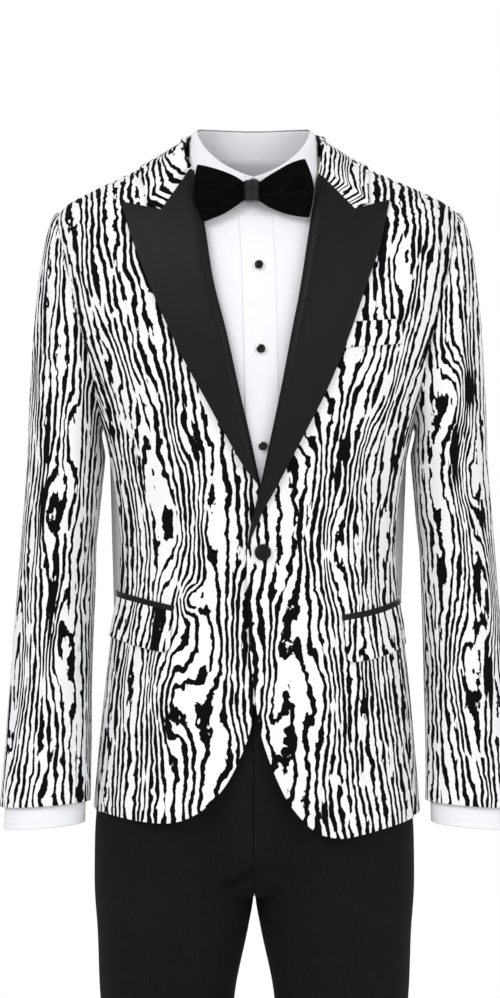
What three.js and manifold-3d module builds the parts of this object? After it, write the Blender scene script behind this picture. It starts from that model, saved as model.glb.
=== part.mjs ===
// A man's tuxedo set in the hollow form and pose of wear: a one-button jacket with peak lapels, a white
// dress shirt with a fly of studs, a bow tie and flat-front trousers. All cloth is a thin wall.
// Millimetres, +Z up. The wearer's front faces -Y and the wearer's left is +X. The origin lies inside the
// base of the neck, at the height where the shoulders carry the jacket.
import * as THREE from 'three';
import { mergeVertices } from 'three/addons/utils/BufferGeometryUtils.js';
import Module from 'manifold-3d';

const wasm = await Module();
wasm.setup();

// Cloth thicknesses and seams
const cloth = { jacket: 2, lapel: 1.8, collar: 2, shirt: 1.2, trousers: 1.6, waistband: 2.6, pocket: 1.6 };
const seam = 0.3;
const seamDegrees = 0.12; // half a seam, as an angle round the body
const seamShare = 0.0012; // half a seam, as a share of a trouser panel's width

// The jacket's outer form: half width, depth to the front and to the back, and the middle, level by level
const jacketForm = [
  { z: 38, middle: -5, half: 69, front: 50, back: 63 },
  { z: 24, middle: -5, half: 71, front: 52, back: 62 },
  { z: 10, middle: -5, half: 79, front: 56, back: 61 },
  { z: 0, middle: -5, half: 100, front: 62, back: 64 },
  { z: -20, middle: -4, half: 145, front: 73, back: 75 },
  { z: -38, middle: -2, half: 185, front: 81, back: 85 },
  { z: -50, middle: -1, half: 208, front: 86.5, back: 91 },
  { z: -60, middle: 0, half: 218, front: 91, back: 96 },
  { z: -78, middle: 0, half: 223, front: 98, back: 104 },
  { z: -105, middle: 0, half: 223, front: 106, back: 111 },
  { z: -150, middle: 0, half: 218, front: 114, back: 118 },
  { z: -190, middle: 0, half: 209, front: 118, back: 120 },
  { z: -230, middle: 0, half: 195, front: 119, back: 120 },
  { z: -265, middle: 0, half: 181, front: 118, back: 117 },
  { z: -297, middle: 0, half: 170, front: 117, back: 113 },
  { z: -340, middle: 0, half: 161, front: 114, back: 105 },
  { z: -380, middle: 0, half: 155, front: 110, back: 98 },
  { z: -430, middle: 0, half: 152, front: 107, back: 93 },
  { z: -480, middle: 0, half: 155, front: 108, back: 96 },
  { z: -530, middle: -1, half: 161, front: 111, back: 103 },
  { z: -590, middle: -1, half: 168, front: 115, back: 111 },
  { z: -650, middle: -1, half: 174, front: 119, back: 118 },
  { z: -710, middle: -1, half: 179, front: 123, back: 123 },
  { z: -770, middle: -1, half: 182, front: 127, back: 127 },
];
const squareness = 0.15;

// Drape folds of the jacket: where each runs, how wide and long it is, and how far it sinks in
const jacketFolds = [
  { angle: -50, z: -425, wide: 13, long: 62, slant: 0.04, depth: 3.5 },
  { angle: 52, z: -418, wide: 12, long: 66, slant: -0.04, depth: 3 },
  { angle: -128, z: -420, wide: 13, long: 80, slant: 0.02, depth: 4 },
  { angle: 130, z: -410, wide: 13, long: 85, slant: -0.02, depth: 4 },
  { angle: -152, z: -290, wide: 12, long: 90, slant: 0, depth: 3 },
  { angle: 154, z: -310, wide: 12, long: 95, slant: 0, depth: 3 },
  { angle: -38, z: -690, wide: 11, long: 60, slant: 0, depth: 2.5 },
  { angle: 44, z: -700, wide: 12, long: 66, slant: 0, depth: 2.5 },
];

// Armhole: an oval on the form, swung forward and back from the side seam line
const armhole = { middle: -177, halfHeight: 119, swingFront: 28, swingBack: 26 };
const shirtArmhole = { middle: -176, halfHeight: 110, swingFront: 24.5, swingBack: 22.5 };
const sideSeam = { front: 68, back: 112 };

// Sleeve below the cap: reach from the middle line, depth and lean, level by level
const sleeveRows = [
  { z: -330, outer: 253, inner: 168.5, lean: 4, depth: 66 },
  { z: -385, outer: 257.5, inner: 173.5, lean: 3, depth: 62 },
  { z: -440, outer: 261.5, inner: 177, lean: 0, depth: 58 },
  { z: -528, outer: 268, inner: 181, lean: -8, depth: 52 },
  { z: -616, outer: 274, inner: 182, lean: -24, depth: 45 },
  { z: -702, outer: 279.5, inner: 182, lean: -43, depth: 37 },
  { z: -760, outer: 283, inner: 183, lean: -54, depth: 34 },
];
const sleeveTop = -330;
const sleeveHem = -702;
const hemSlant = 3.3; // the hem is higher on the side by the body
const sleeveSeams = { front: 135, back: 250 };
const sleeveFolds = [
  { angle: 150, z: -300, wide: 22, long: 34, slant: 0.5, depth: 3.5 },
  { angle: 160, z: -425, wide: 26, long: 22, slant: 0.2, depth: 3 },
  { angle: 120, z: -480, wide: 24, long: 20, slant: 0.2, depth: 2.5 },
  { angle: 215, z: -455, wide: 26, long: 26, slant: -0.2, depth: 3 },
  { angle: 60, z: -250, wide: 20, long: 60, slant: 0.1, depth: 2.5 },
];

// Outlines seen from the front, as x and z
const rollRight = [
  { x: -70, z: -18 },
  { x: -63.5, z: -54 },
  { x: -58, z: -80 },
  { x: -48.5, z: -140 },
  { x: -34.5, z: -197 },
  { x: -21, z: -258 },
  { x: -8.8, z: -310 },
  { x: 1.8, z: -359 },
];
const rollLeft = [
  { x: 64.6, z: -26 },
  { x: 59, z: -62 },
  { x: 52.5, z: -105 },
  { x: 47, z: -140 },
  { x: 36.6, z: -195 },
  { x: 25.5, z: -254 },
  { x: 12.4, z: -315 },
  { x: 2.9, z: -359 },
  { x: -7.7, z: -403 },
  { x: -11, z: -427 },
];
const edgeRight = [
  { x: 12, z: -385 },
  { x: 19, z: -430 },
  { x: 19, z: -500 },
  { x: 9, z: -553 },
  { x: -3, z: -586 },
  { x: -12, z: -627 },
  { x: -32, z: -671 },
  { x: -53, z: -696 },
  { x: -71, z: -709 },
  { x: -95, z: -716.5 },
  { x: -127, z: -716 },
  { x: -161, z: -711 },
  { x: -200, z: -706 },
];
const edgeLeft = [
  { x: -11, z: -465 },
  { x: -9, z: -520 },
  { x: -3, z: -580 },
  { x: 5, z: -627 },
  { x: 21, z: -671 },
  { x: 37, z: -700 },
  { x: 60, z: -724 },
  { x: 83, z: -732 },
  { x: 106, z: -730.5 },
  { x: 155, z: -720 },
  { x: 200, z: -708 },
];
const lapelRight = {
  notch: { x: -103, z: -65 },
  tip: { x: -145.5, z: -55 },
  outer: [
    { x: -136.6, z: -86.5 },
    { x: -112.7, z: -149 },
    { x: -80.9, z: -218.6 },
    { x: -53.3, z: -269 },
    { x: -20.9, z: -329 },
    { x: 4, z: -372 },
  ],
};
const lapelLeft = {
  notch: { x: 103, z: -64 },
  tip: { x: 140, z: -53 },
  outer: [
    { x: 129.3, z: -103 },
    { x: 111, z: -154 },
    { x: 96, z: -197 },
    { x: 72.9, z: -254 },
    { x: 41.8, z: -315 },
    { x: 16.7, z: -363 },
    { x: 3.9, z: -386 },
    { x: -6.7, z: -411 },
    { x: -11, z: -427 },
  ],
};
const shoulderNeck = { half: 80.5, z: 9 };

// Collar of the jacket, from centre back to the notch: where it folds, how far the fold stands off the
// form, where its outer edge lies, and the neckline that its stand rises from
const collarRows = [
  { at: 0, foldAngle: 180, foldZ: 36, rise: 1, edgeAngle: 180, edgeZ: -12, baseAngle: 180, baseZ: 5 },
  { at: 1, foldAngle: 150, foldZ: 35, rise: 1.5, edgeAngle: 150, edgeZ: -12, baseAngle: 150, baseZ: 5.6 },
  { at: 2, foldAngle: 122, foldZ: 31, rise: 2.5, edgeAngle: 122, edgeZ: -10, baseAngle: 122, baseZ: 7.4 },
  { at: 3, foldAngle: 90, foldZ: 23, rise: 3, edgeAngle: 90, edgeZ: -8, baseAngle: 90, baseZ: 10 },
  { at: 4, foldAngle: 66, foldZ: 12, rise: 5, edgeAngle: 56, edgeZ: -18, baseAngle: 67, baseZ: 8 },
  { at: 5, foldAngle: 41, foldZ: -2, rise: 6, edgeAngle: 41, edgeZ: -31, baseAngle: 41, baseZ: -2.5 },
  { at: 6, foldAngle: 30.5, foldZ: -13, rise: 4, edgeAngle: 33, edgeZ: -44, baseAngle: 30, baseZ: -14 },
  { at: 7, foldAngle: 26, foldZ: -20, rise: 2, edgeAngle: 29.6, edgeZ: -55.5, baseAngle: 26, baseZ: -21 },
];

// Pockets, seen from the front
const welt = [
  { x: 101, z: -185.3 },
  { x: 150.5, z: -181.5 },
  { x: 154.5, z: -206 },
  { x: 92, z: -211.6 },
];
const pockets = {
  right: {
    jet: [
      { x: -91.5, z: -487.5 },
      { x: -110, z: -483.5 },
      { x: -130, z: -479.3 },
      { x: -156, z: -473.5 },
      { x: -156.5, z: -478.3 },
      { x: -130, z: -484.2 },
      { x: -110, z: -488.5 },
      { x: -91, z: -492.5 },
    ],
    flap: [
      { x: -93.5, z: -493 },
      { x: -110, z: -489.6 },
      { x: -130, z: -485.3 },
      { x: -200, z: -470 },
      { x: -200, z: -512 },
      { x: -146.3, z: -525.4 },
      { x: -134.5, z: -529 },
      { x: -120.7, z: -532 },
      { x: -109, z: -534.6 },
      { x: -100, z: -535.4 },
      { x: -95, z: -532 },
      { x: -93.8, z: -526 },
    ],
  },
  left: {
    jet: [
      { x: 89.5, z: -497.5 },
      { x: 117, z: -493 },
      { x: 135, z: -488.8 },
      { x: 156, z: -481 },
      { x: 157, z: -485.6 },
      { x: 136, z: -493.8 },
      { x: 117.5, z: -498.2 },
      { x: 90, z: -502.5 },
    ],
    flap: [
      { x: 90.8, z: -503.4 },
      { x: 117.6, z: -499.2 },
      { x: 136.3, z: -494.8 },
      { x: 158, z: -486.3 },
      { x: 200, z: -470 },
      { x: 200, z: -508 },
      { x: 155, z: -531.8 },
      { x: 140.8, z: -538.2 },
      { x: 124.4, z: -542.9 },
      { x: 112.4, z: -545.2 },
      { x: 99, z: -546.6 },
      { x: 95.3, z: -543.5 },
    ],
  },
};
const button = { x: 4.8, z: -429.7, radius: 8.8 };

// Shirt
const shirtInset = [
  { z: 30, inset: 9 },
  { z: -250, inset: 9 },
  { z: -350, inset: 11 },
  { z: -490, inset: 14 },
  { z: -530, inset: 20 },
  { z: -700, inset: 20 },
];
const shirtMiddle = [
  { x: -5, z: 40 },
  { x: -4, z: -50 },
  { x: 0.8, z: -124 },
  { x: 2.9, z: -213 },
  { x: 5, z: -317 },
  { x: 5, z: -700 },
];
const shirtHem = -640;
const placketWidth = 35;
const studs = [
  { name: 'stud_upper', x: 0.8, z: -124 },
  { name: 'stud_middle', x: 2.9, z: -213.5 },
  { name: 'stud_lower', x: 5, z: -316.5 },
];
const studRadius = 5.4;
const sleeveInset = { arm: 8.5, cuff: 6 };
const cuff = { top: -648, hem: -725, cloth: 1.6 };

// Shirt collar round the neck: heights of its seam, fold and lower edge at each angle, 0 at the front
const neckRows = [
  { angle: 0, seam: -67, fold: -28, tip: -31, reach: 2 },
  { angle: 12, seam: -64, fold: -23.5, tip: -52, reach: 23 },
  { angle: 26, seam: -56, fold: -16, tip: -73, reach: 46 },
  { angle: 38, seam: -45, fold: -8, tip: -60, reach: 58 },
  { angle: 55, seam: -27, fold: 5, tip: -32, reach: 66 },
  { angle: 75, seam: -7, fold: 21, tip: -6, reach: 68 },
  { angle: 90, seam: 1, fold: 30, tip: 3, reach: 68 },
  { angle: 130, seam: 4, fold: 36, tip: 4, reach: 50 },
  { angle: 180, seam: 4, fold: 37, tip: 4, reach: 0 },
];
const neck = { middle: -5, seamHalf: 65, half: 62, front: 70, back: 51 };

// Bow tie: the wings' half heights and half depths on the way out from the knot
const bow = { x: -7, y: -93, z: -43.7, knotHalf: 8, knotTall: 10.3, knotFront: -104, knotBack: -81.2 };
const bowRows = [
  { out: 8.4, tall: 9.6, deep: 4.4, drop: 0, ahead: 0 },
  { out: 14, tall: 13.5, deep: 5.2, drop: 0, ahead: 0.3 },
  { out: 24, tall: 19.5, deep: 6, drop: 0.4, ahead: 1.5 },
  { out: 37, tall: 25.6, deep: 6, drop: 0.8, ahead: 3 },
  { out: 50, tall: 29.6, deep: 4.6, drop: 1, ahead: 5 },
  { out: 59, tall: 30.4, deep: 3, drop: 1, ahead: 6 },
];

// Trousers: hips above the fork, legs below it
const hipRows = [
  { z: -500, half: 146, front: 95, back: 82 },
  { z: -530, half: 150, front: 98, back: 88 },
  { z: -568, half: 155, front: 101, back: 95 },
  { z: -600, half: 160, front: 103, back: 102 },
  { z: -650, half: 165.5, front: 106, back: 110 },
  { z: -700, half: 170.5, front: 108, back: 113.5 },
  { z: -750, half: 175, front: 108, back: 113 },
  { z: -809, half: 175, front: 105, back: 109 },
  { z: -860, half: 172, front: 100, back: 104 },
];
const legRows = [
  { z: -730, middle: 88, half: 87.4, front: 104, back: 108, shift: 0 },
  { z: -809, middle: 88, half: 87, front: 98, back: 103, shift: 0 },
  { z: -842, middle: 89.5, half: 83, front: 94, back: 100, shift: 0 },
  { z: -922, middle: 95.5, half: 73.5, front: 86, back: 94, shift: 1 },
  { z: -1050, middle: 95, half: 66, front: 78, back: 86, shift: 2 },
  { z: -1180, middle: 93, half: 59, front: 70, back: 78, shift: 3 },
  { z: -1400, middle: 90.5, half: 53, front: 64, back: 72, shift: 6 },
  { z: -1585, middle: 89, half: 50, front: 62, back: 70, shift: 9 },
];
const trousers = { middle: -4, top: -568, waist: -530, hem: -1580, crease: 5, creaseAt: 0.57 };
const fork = { start: -735, end: -809 };

// Interpolation and geometry helpers

const degrees = THREE.MathUtils.degToRad;

// A soft step from 0 at one value to 1 at another, rising either way.
function smooth(zero, one, value) {
  return THREE.MathUtils.smoothstep((value - zero) / (one - zero), 0, 1);
}

// A smooth function through one column of a table.
function column(rows, key, name) {
  const sorted = [...rows].sort((a, b) => a[key] - b[key]);
  const x = sorted.map((row) => row[key]);
  const y = sorted.map((row) => row[name]);
  const last = x.length - 1;
  const slope = (i) => (y[i + 1] - y[i]) / (x[i + 1] - x[i]);
  const tangent = x.map((_, i) => {
    if (i === 0) return slope(0);
    if (i === last) return slope(last - 1);
    return slope(i - 1) * slope(i) <= 0 ? 0 : (slope(i - 1) + slope(i)) / 2;
  });
  return (at) => {
    if (at <= x[0]) return y[0] + tangent[0] * (at - x[0]);
    if (at >= x[last]) return y[last] + tangent[last] * (at - x[last]);
    const i = x.findIndex((edge) => edge > at) - 1;
    const span = x[i + 1] - x[i];
    const t = (at - x[i]) / span;
    const a = 2 * t ** 3 - 3 * t ** 2 + 1;
    const b = t ** 3 - 2 * t ** 2 + t;
    const c = 3 * t ** 2 - 2 * t ** 3;
    const d = t ** 3 - t ** 2;
    return a * y[i] + b * span * tangent[i] + c * y[i + 1] + d * span * tangent[i + 1];
  };
}

function columns(rows, key, ...names) {
  return Object.fromEntries(names.map((name) => [name, column(rows, key, name)]));
}

function evenly(from, to, count) {
  return Array.from({ length: count + 1 }, (_, i) => from + ((to - from) * i) / count);
}

// The unit normal of surface(a, b), pointing along da cross db.
function normalAt(surface, a, b, stepA, stepB) {
  const across = surface(a + stepA, b).sub(surface(a - stepA, b));
  const along = surface(a, b + stepB).sub(surface(a, b - stepB));
  return across.cross(along).normalize();
}

// A point of a surface moved off it along its normal.
function moved(surface, a, b, distance, step = surface.step) {
  return surface(a, b).addScaledVector(normalAt(surface, a, b, ...step), distance);
}

// A closed skin of triangles from rows of points; each quad is cut along one diagonal.
function geometryOf(points, triangles) {
  let volume = 0;
  for (const [a, b, c] of triangles) volume += points[a].dot(points[b].clone().cross(points[c]));
  const facing = volume < 0 ? triangles.map(([a, b, c]) => [a, c, b]) : triangles;
  const geometry = new THREE.BufferGeometry();
  geometry.setAttribute('position', new THREE.Float32BufferAttribute(points.flatMap((p) => p.toArray()), 3));
  geometry.setIndex(facing.flat());
  return geometry;
}

// A wall between two grids of points: skins, and the strips round its open edges.
function wallBetween(outer, inner, ring = false) {
  const rows = outer.length;
  const cols = outer[0].length;
  const points = [...outer.flat(), ...inner.flat()];
  const triangles = [];
  const quad = (a, b, c, d) => triangles.push([a, b, c], [a, c, d]);
  const out = (j, i) => j * cols + (i % cols);
  const into = (j, i) => rows * cols + out(j, i);
  const across = ring ? cols : cols - 1;
  for (let j = 0; j < rows - 1; j += 1) {
    for (let i = 0; i < across; i += 1) {
      quad(out(j, i), out(j, i + 1), out(j + 1, i + 1), out(j + 1, i));
      quad(into(j, i), into(j + 1, i), into(j + 1, i + 1), into(j, i + 1));
    }
    if (!ring) {
      quad(out(j, 0), out(j + 1, 0), into(j + 1, 0), into(j, 0));
      quad(out(j, cols - 1), into(j, cols - 1), into(j + 1, cols - 1), out(j + 1, cols - 1));
    }
  }
  for (let i = 0; i < across; i += 1) {
    quad(out(0, i), into(0, i), into(0, i + 1), out(0, i + 1));
    quad(out(rows - 1, i), out(rows - 1, i + 1), into(rows - 1, i + 1), into(rows - 1, i));
  }
  return geometryOf(points, triangles);
}

// A cloth wall on a surface. spot(u, v) gives the surface's own coordinates; from and to are the distances of
// its inner and outer skins off the surface.
function wall(surface, spot, us, vs, from, to, ring = false) {
  const skin = (distance) => vs.map((v) => us.map((u) => moved(surface, ...spot(u, v), distance)));
  return wallBetween(skin(to), skin(from), ring);
}

// A closed solid lofted through rings, with a fan over each end.
function loft(rings) {
  const count = rings[0].length;
  const points = rings.flat();
  const triangles = [];
  rings.slice(1).forEach((_, j) => {
    for (let i = 0; i < count; i += 1) {
      const next = (i + 1) % count;
      const [a, b, c, d] = [j * count + i, j * count + next, (j + 1) * count + next, (j + 1) * count + i];
      triangles.push([a, b, c], [a, c, d]);
    }
  });
  for (const [start, reversed] of [[0, true], [(rings.length - 1) * count, false]]) {
    const middle = points.length;
    const ring = points.slice(start, start + count);
    points.push(ring.reduce((sum, p) => sum.add(p), new THREE.Vector3()).divideScalar(count));
    for (let i = 0; i < count; i += 1) {
      const pair = [start + i, start + ((i + 1) % count)];
      triangles.push(reversed ? [middle, pair[1], pair[0]] : [middle, ...pair]);
    }
  }
  return geometryOf(points, triangles);
}

function solidOf(geometry) {
  const bare = geometry.clone();
  bare.deleteAttribute('normal');
  bare.deleteAttribute('uv');
  const merged = mergeVertices(bare, 1e-4);
  return new wasm.Manifold(new wasm.Mesh({
    numProp: 3,
    vertProperties: merged.attributes.position.array,
    triVerts: new Uint32Array(merged.index.array),
  }));
}

function geometryFrom(solid) {
  const mesh = solid.getMesh();
  const geometry = new THREE.BufferGeometry();
  geometry.setAttribute('position', new THREE.BufferAttribute(new Float32Array(mesh.vertProperties), 3));
  geometry.setIndex(new THREE.BufferAttribute(mesh.triVerts, 1));
  return geometry;
}

// An outline seen from the front, made solid from far in front to a little behind the middle.
function frontPrism(shape, nearY = -260, farY = 30) {
  const depth = farY - nearY;
  const prism = new THREE.ExtrudeGeometry(shape, { depth, bevelEnabled: false, curveSegments: 2 });
  prism.rotateX(Math.PI / 2);
  prism.translate(0, farY, 0);
  return solidOf(prism);
}

function cutTo(geometry, shape, ...depth) {
  return geometryFrom(solidOf(geometry).intersect(frontPrism(shape, ...depth)));
}

const flat = (points) => points.map(({ x, z }) => new THREE.Vector2(x, z));

// Surfaces

const jacketAt = columns(jacketForm, 'z', 'middle', 'half', 'front', 'back');

const wrapped = (angle) => THREE.MathUtils.euclideanModulo(angle + 180, 360) - 180;

// How far the listed folds sink in at a place.
function foldDepth(folds, angle, z) {
  return folds.reduce((sum, fold) => {
    const off = wrapped(angle - fold.angle - fold.slant * (z - fold.z)) / fold.wide;
    const down = (z - fold.z) / fold.long;
    return sum + fold.depth * Math.exp(-off * off - down * down);
  }, 0);
}

// Round the jacket: angle 0 is centre front, 90 the wearer's left side and 180 centre back.
function jacketSurface(angle, z) {
  const turned = degrees(angle);
  const s = Math.sin(turned);
  const c = Math.cos(turned);
  const depth = c > 0 ? jacketAt.front(z) : jacketAt.back(z);
  const sunk = foldDepth(jacketFolds, angle, z);
  const half = jacketAt.half(z) - sunk;
  return new THREE.Vector3(
    jacketAt.middle(z) + half * s * (1 + squareness * c * c),
    -(depth - sunk) * c * (1 + squareness * s * s),
    z,
  );
}
jacketSurface.step = [0.5, 0.5];

// The angle at which the form reaches x at a level, on its front.
function angleAt(x, z) {
  const share = (x - jacketAt.middle(z)) / jacketAt.half(z);
  let low = -90;
  let high = 90;
  for (let i = 0; i < 30; i += 1) {
    const angle = (low + high) / 2;
    const turned = degrees(angle);
    const reach = Math.sin(turned) * (1 + squareness * Math.cos(turned) ** 2);
    if (reach < share) low = angle;
    else high = angle;
  }
  return (low + high) / 2;
}

const frontPoint = (x, z, distance) => moved(jacketSurface, angleAt(x, z), z, distance);

// Round an armhole: 0 at the shoulder tip, 90 in front, 180 under the arm. side is 1 on the wearer's left.
function armholeSpot(round, side, hole = armhole) {
  const s = Math.sin(degrees(round));
  const swing = s > 0 ? hole.swingFront : hole.swingBack;
  return [side * (90 - swing * s), hole.middle + hole.halfHeight * Math.cos(degrees(round))];
}

// The armhole's angle off the side line at a level, as a positive number.
function armholeSwing(z, swing, hole = armhole) {
  const share = (z - hole.middle) / hole.halfHeight;
  return Math.abs(share) >= 1 ? 0 : hole[swing] * Math.sqrt(1 - share * share);
}

// The armhole's level at an angle off the side line, on its lower half.
function armholeFloor(angle) {
  const off = 90 - Math.abs(angle);
  const share = Math.min(1, Math.abs(off) / (off > 0 ? armhole.swingFront : armhole.swingBack));
  return armhole.middle - armhole.halfHeight * Math.sqrt(1 - share * share);
}

const sleeveAt = columns(sleeveRows, 'z', 'outer', 'inner', 'lean', 'depth');

function sleeveRing(round, z, side) {
  const turned = degrees(round);
  const sunk = foldDepth(sleeveFolds, round, z);
  const half = (sleeveAt.outer(z) - sleeveAt.inner(z)) / 2 - sunk;
  const middle = (sleeveAt.outer(z) + sleeveAt.inner(z)) / 2;
  return new THREE.Vector3(
    side * (middle + half * Math.cos(turned)),
    sleeveAt.lean(z) - (sleeveAt.depth(z) - sunk) * Math.sin(turned),
    z,
  );
}

// A sleeve: down is 0 at the armhole, 1 at the foot of the cap and 2 at the hem.
function sleeveSurface(side) {
  const surface = (round, down) => {
    if (down >= 1) {
      const hem = sleeveHem - hemSlant * Math.cos(degrees(round));
      return sleeveRing(round, THREE.MathUtils.lerp(sleeveTop, hem, down - 1), side);
    }
    const c = Math.cos(degrees(round));
    const s = Math.sin(degrees(round));
    const start = jacketSurface(...armholeSpot(round, side));
    const end = sleeveRing(round, sleeveTop, side);
    const leave = new THREE.Vector3(side * (42 + 26 * c), -22 * s, -12 + 14 * c);
    start.addScaledVector(leave.clone().normalize(), 0.5);
    const fall = end.z - start.z;
    const arrive = new THREE.Vector3(side * 4, 0, fall * 1.1);
    const t = Math.max(down, -0.02);
    const [a, b] = [2 * t ** 3 - 3 * t ** 2 + 1, t ** 3 - 2 * t ** 2 + t];
    const [g, d] = [3 * t ** 2 - 2 * t ** 3, t ** 3 - t ** 2];
    return start.multiplyScalar(a).addScaledVector(leave, b).addScaledVector(end, g).addScaledVector(arrive, d);
  };
  surface.step = [side > 0 ? 0.5 : -0.5, 0.004];
  return surface;
}

const insetAt = column(shirtInset, 'z', 'inset');

function shirtSurface(angle, z) {
  return moved(jacketSurface, angle, z, -insetAt(z));
}
shirtSurface.step = [0.5, 0.5];

const hipAt = columns(hipRows, 'z', 'half', 'front', 'back');
const legAt = columns(legRows, 'z', 'middle', 'half', 'front', 'back', 'shift');

// Half a pair of trousers: round is 0 at the centre front or inseam, 1 at the outer seam, 2 at the back.
function trouserSurface(side) {
  const surface = (round, z) => {
    const hipTurn = degrees(round * 90);
    const [hs, hc] = [Math.sin(hipTurn), Math.cos(hipTurn)];
    const hipDepth = hc > 0 ? hipAt.front(z) : hipAt.back(z);
    const hip = [hipAt.half(z) * hs * (1 + squareness * hc * hc), -hipDepth * hc * (1 + squareness * hs * hs)];
    const legTurn = degrees(round * 180);
    const ls = Math.sin(legTurn);
    const legDepth = ls > 0 ? legAt.front(z) : legAt.back(z);
    const creaseAt = round < 1 ? trousers.creaseAt : 1.5;
    const crease = trousers.crease * smooth(-640, -860, z) * Math.exp(-(((round - creaseAt) / 0.07) ** 2));
    const leg = [
      legAt.middle(z) - legAt.half(z) * Math.cos(legTurn),
      legAt.shift(z) - (legDepth + crease) * ls,
    ];
    const into = THREE.MathUtils.clamp((fork.start - z) / (fork.start - fork.end), 0, 1);
    // The hips turn into a leg slowly at the outer side, and along the curve of the seat seam at the inner one.
    const inner = Math.exp(-((Math.min(round, 2 - round) / 0.22) ** 2));
    const share = THREE.MathUtils.lerp(smooth(-610, -850, z), 1 - Math.sqrt(1 - into * into), inner);
    return new THREE.Vector3(
      trousers.middle + side * THREE.MathUtils.lerp(hip[0], leg[0], share),
      THREE.MathUtils.lerp(hip[1], leg[1], share),
      z,
    );
  };
  surface.step = [side > 0 ? 0.004 : -0.004, 0.5];
  return surface;
}

// The object

const tuxedo = new THREE.Group();
const finish = {
  print: new THREE.MeshStandardMaterial({ color: 0xf2f2f0, roughness: 0.85 }),
  satin: new THREE.MeshStandardMaterial({ color: 0x1b1b1d, roughness: 0.5 }),
  velvet: new THREE.MeshStandardMaterial({ color: 0x060606, roughness: 0.95 }),
  wool: new THREE.MeshStandardMaterial({ color: 0x141415, roughness: 0.85 }),
  cotton: new THREE.MeshStandardMaterial({ color: 0xf7f8fb, roughness: 0.8 }),
  stud: new THREE.MeshStandardMaterial({ color: 0x0b0b0e, roughness: 0.15 }),
};

function add(name, geometry, material) {
  const mesh = new THREE.Mesh(geometry, material);
  mesh.name = name;
  tuxedo.add(mesh);
  return mesh;
}

const sides = [{ word: 'right', side: -1 }, { word: 'left', side: 1 }];

// Jacket fronts, and the lapels turned back over them

const shoulderRows = [-102, -80, -66, -57.5, -46, -34, -21, -8, 3, 12];
const chestRows = [...evenly(-745, -296, 9), -250.6, -212, -172, -135, ...shoulderRows];
const frontColumns = evenly(0, 1, 9);
const underlap = { depth: 4.6, from: -46, to: -14 };

// The wearer's right front sinks under the left one where the two overlap.
function sunkenRight(angle, z) {
  const point = jacketSurface(angle, z);
  const sunk = underlap.depth * smooth(underlap.from, underlap.to, point.x) * smooth(-250, -300, z);
  return moved(jacketSurface, angle, z, -sunk);
}
sunkenRight.step = [0.5, 0.5];

// Columns run from a little past the centre line to the side seam, the armhole or the shoulder seam.
function frontSpot(side) {
  return (u, z) => {
    const swing = armholeSwing(z, 'swingFront');
    const limit = Math.min(90 - swing, z < armhole.middle ? sideSeam.front : 90) - seamDegrees;
    const start = -14;
    return [side * THREE.MathUtils.lerp(start, limit, u ** 0.9), z];
  };
}

function neckShape(side, roll, rest) {
  const shape = new THREE.Shape();
  const neckX = jacketAt.middle(shoulderNeck.z) + side * shoulderNeck.half;
  shape.moveTo(side * 260, 40);
  shape.lineTo(neckX, 40);
  shape.lineTo(neckX, shoulderNeck.z);
  shape.lineTo(roll[0].x, roll[0].z);
  shape.splineThru(flat(roll.slice(1)));
  shape.splineThru(flat(rest));
  shape.lineTo(side * 260, rest.at(-1).z);
  return shape;
}

function lapelShape(roll, lapel) {
  const shape = new THREE.Shape();
  shape.moveTo(roll[0].x, roll[0].z);
  shape.splineThru(flat(roll.slice(1)));
  shape.splineThru(flat([...lapel.outer].reverse().slice(1)));
  shape.lineTo(lapel.tip.x, lapel.tip.z);
  shape.lineTo(lapel.notch.x, lapel.notch.z);
  return shape;
}

const fronts = {
  right: { surface: sunkenRight, roll: rollRight, edge: edgeRight, lapel: lapelRight },
  left: { surface: jacketSurface, roll: rollLeft, edge: edgeLeft, lapel: lapelLeft },
};

for (const { word, side } of sides) {
  const { surface, roll, edge, lapel } = fronts[word];
  const body = wall(surface, frontSpot(side), frontColumns, chestRows, -cloth.jacket, 0);
  add(`jacket_front_${word}`, cutTo(body, neckShape(side, roll, edge)), finish.print);
  const over = wall(surface, frontSpot(side), frontColumns, chestRows, seam, seam + cloth.lapel);
  add(`lapel_${word}`, cutTo(over, lapelShape(roll, lapel)), finish.satin);
}

// Side panels under the arms, and the two backs with a centre seam

function hemAt(angle, side) {
  return -716.5 - 5 * Math.cos(degrees(2 * angle)) - 2 * side * Math.sin(degrees(angle));
}

for (const { word, side } of sides) {
  const spot = (u, v) => {
    const angle = THREE.MathUtils.lerp(sideSeam.front + seamDegrees, sideSeam.back - seamDegrees, u);
    return [side * angle, THREE.MathUtils.lerp(hemAt(angle, side), armholeFloor(angle) - seam, v)];
  };
  const panel = wall(jacketSurface, spot, evenly(0, 1, 4), evenly(0, 1, 12), -cloth.jacket, 0);
  add(`jacket_side_${word}`, panel, finish.print);
}

const upperBack = [-240.4, -200, -160, -125, -98, -78, -66, -57.5, -46, -33, -20, -8, 4.4];
const backLevels = [...evenly(-721.5, -310, 8), ...upperBack];

for (const { word, side } of sides) {
  const spot = (u, v) => {
    const hem = hemAt(THREE.MathUtils.lerp(180, sideSeam.back, u), side);
    const z = THREE.MathUtils.mapLinear(v, backLevels[0], backLevels.at(-1), hem, 4.4 + 4.4 * u * u);
    const swing = armholeSwing(z, 'swingBack');
    const outer = Math.max(90 + swing, z < armhole.middle ? sideSeam.back : 90) + seamDegrees;
    return [side * THREE.MathUtils.lerp(180 - seamDegrees, outer, u), z];
  };
  const panel = wall(jacketSurface, spot, evenly(0, 1, 8), backLevels, -cloth.jacket, 0);
  add(`jacket_back_${word}`, panel, finish.print);
}

// Sleeves in two pieces, seamed at the front and the back of the arm

const capRows = [0, 0.06, 0.15, 0.28, 0.45, 0.65, 0.85];
const armRows = evenly(1, 2, 7);

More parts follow.
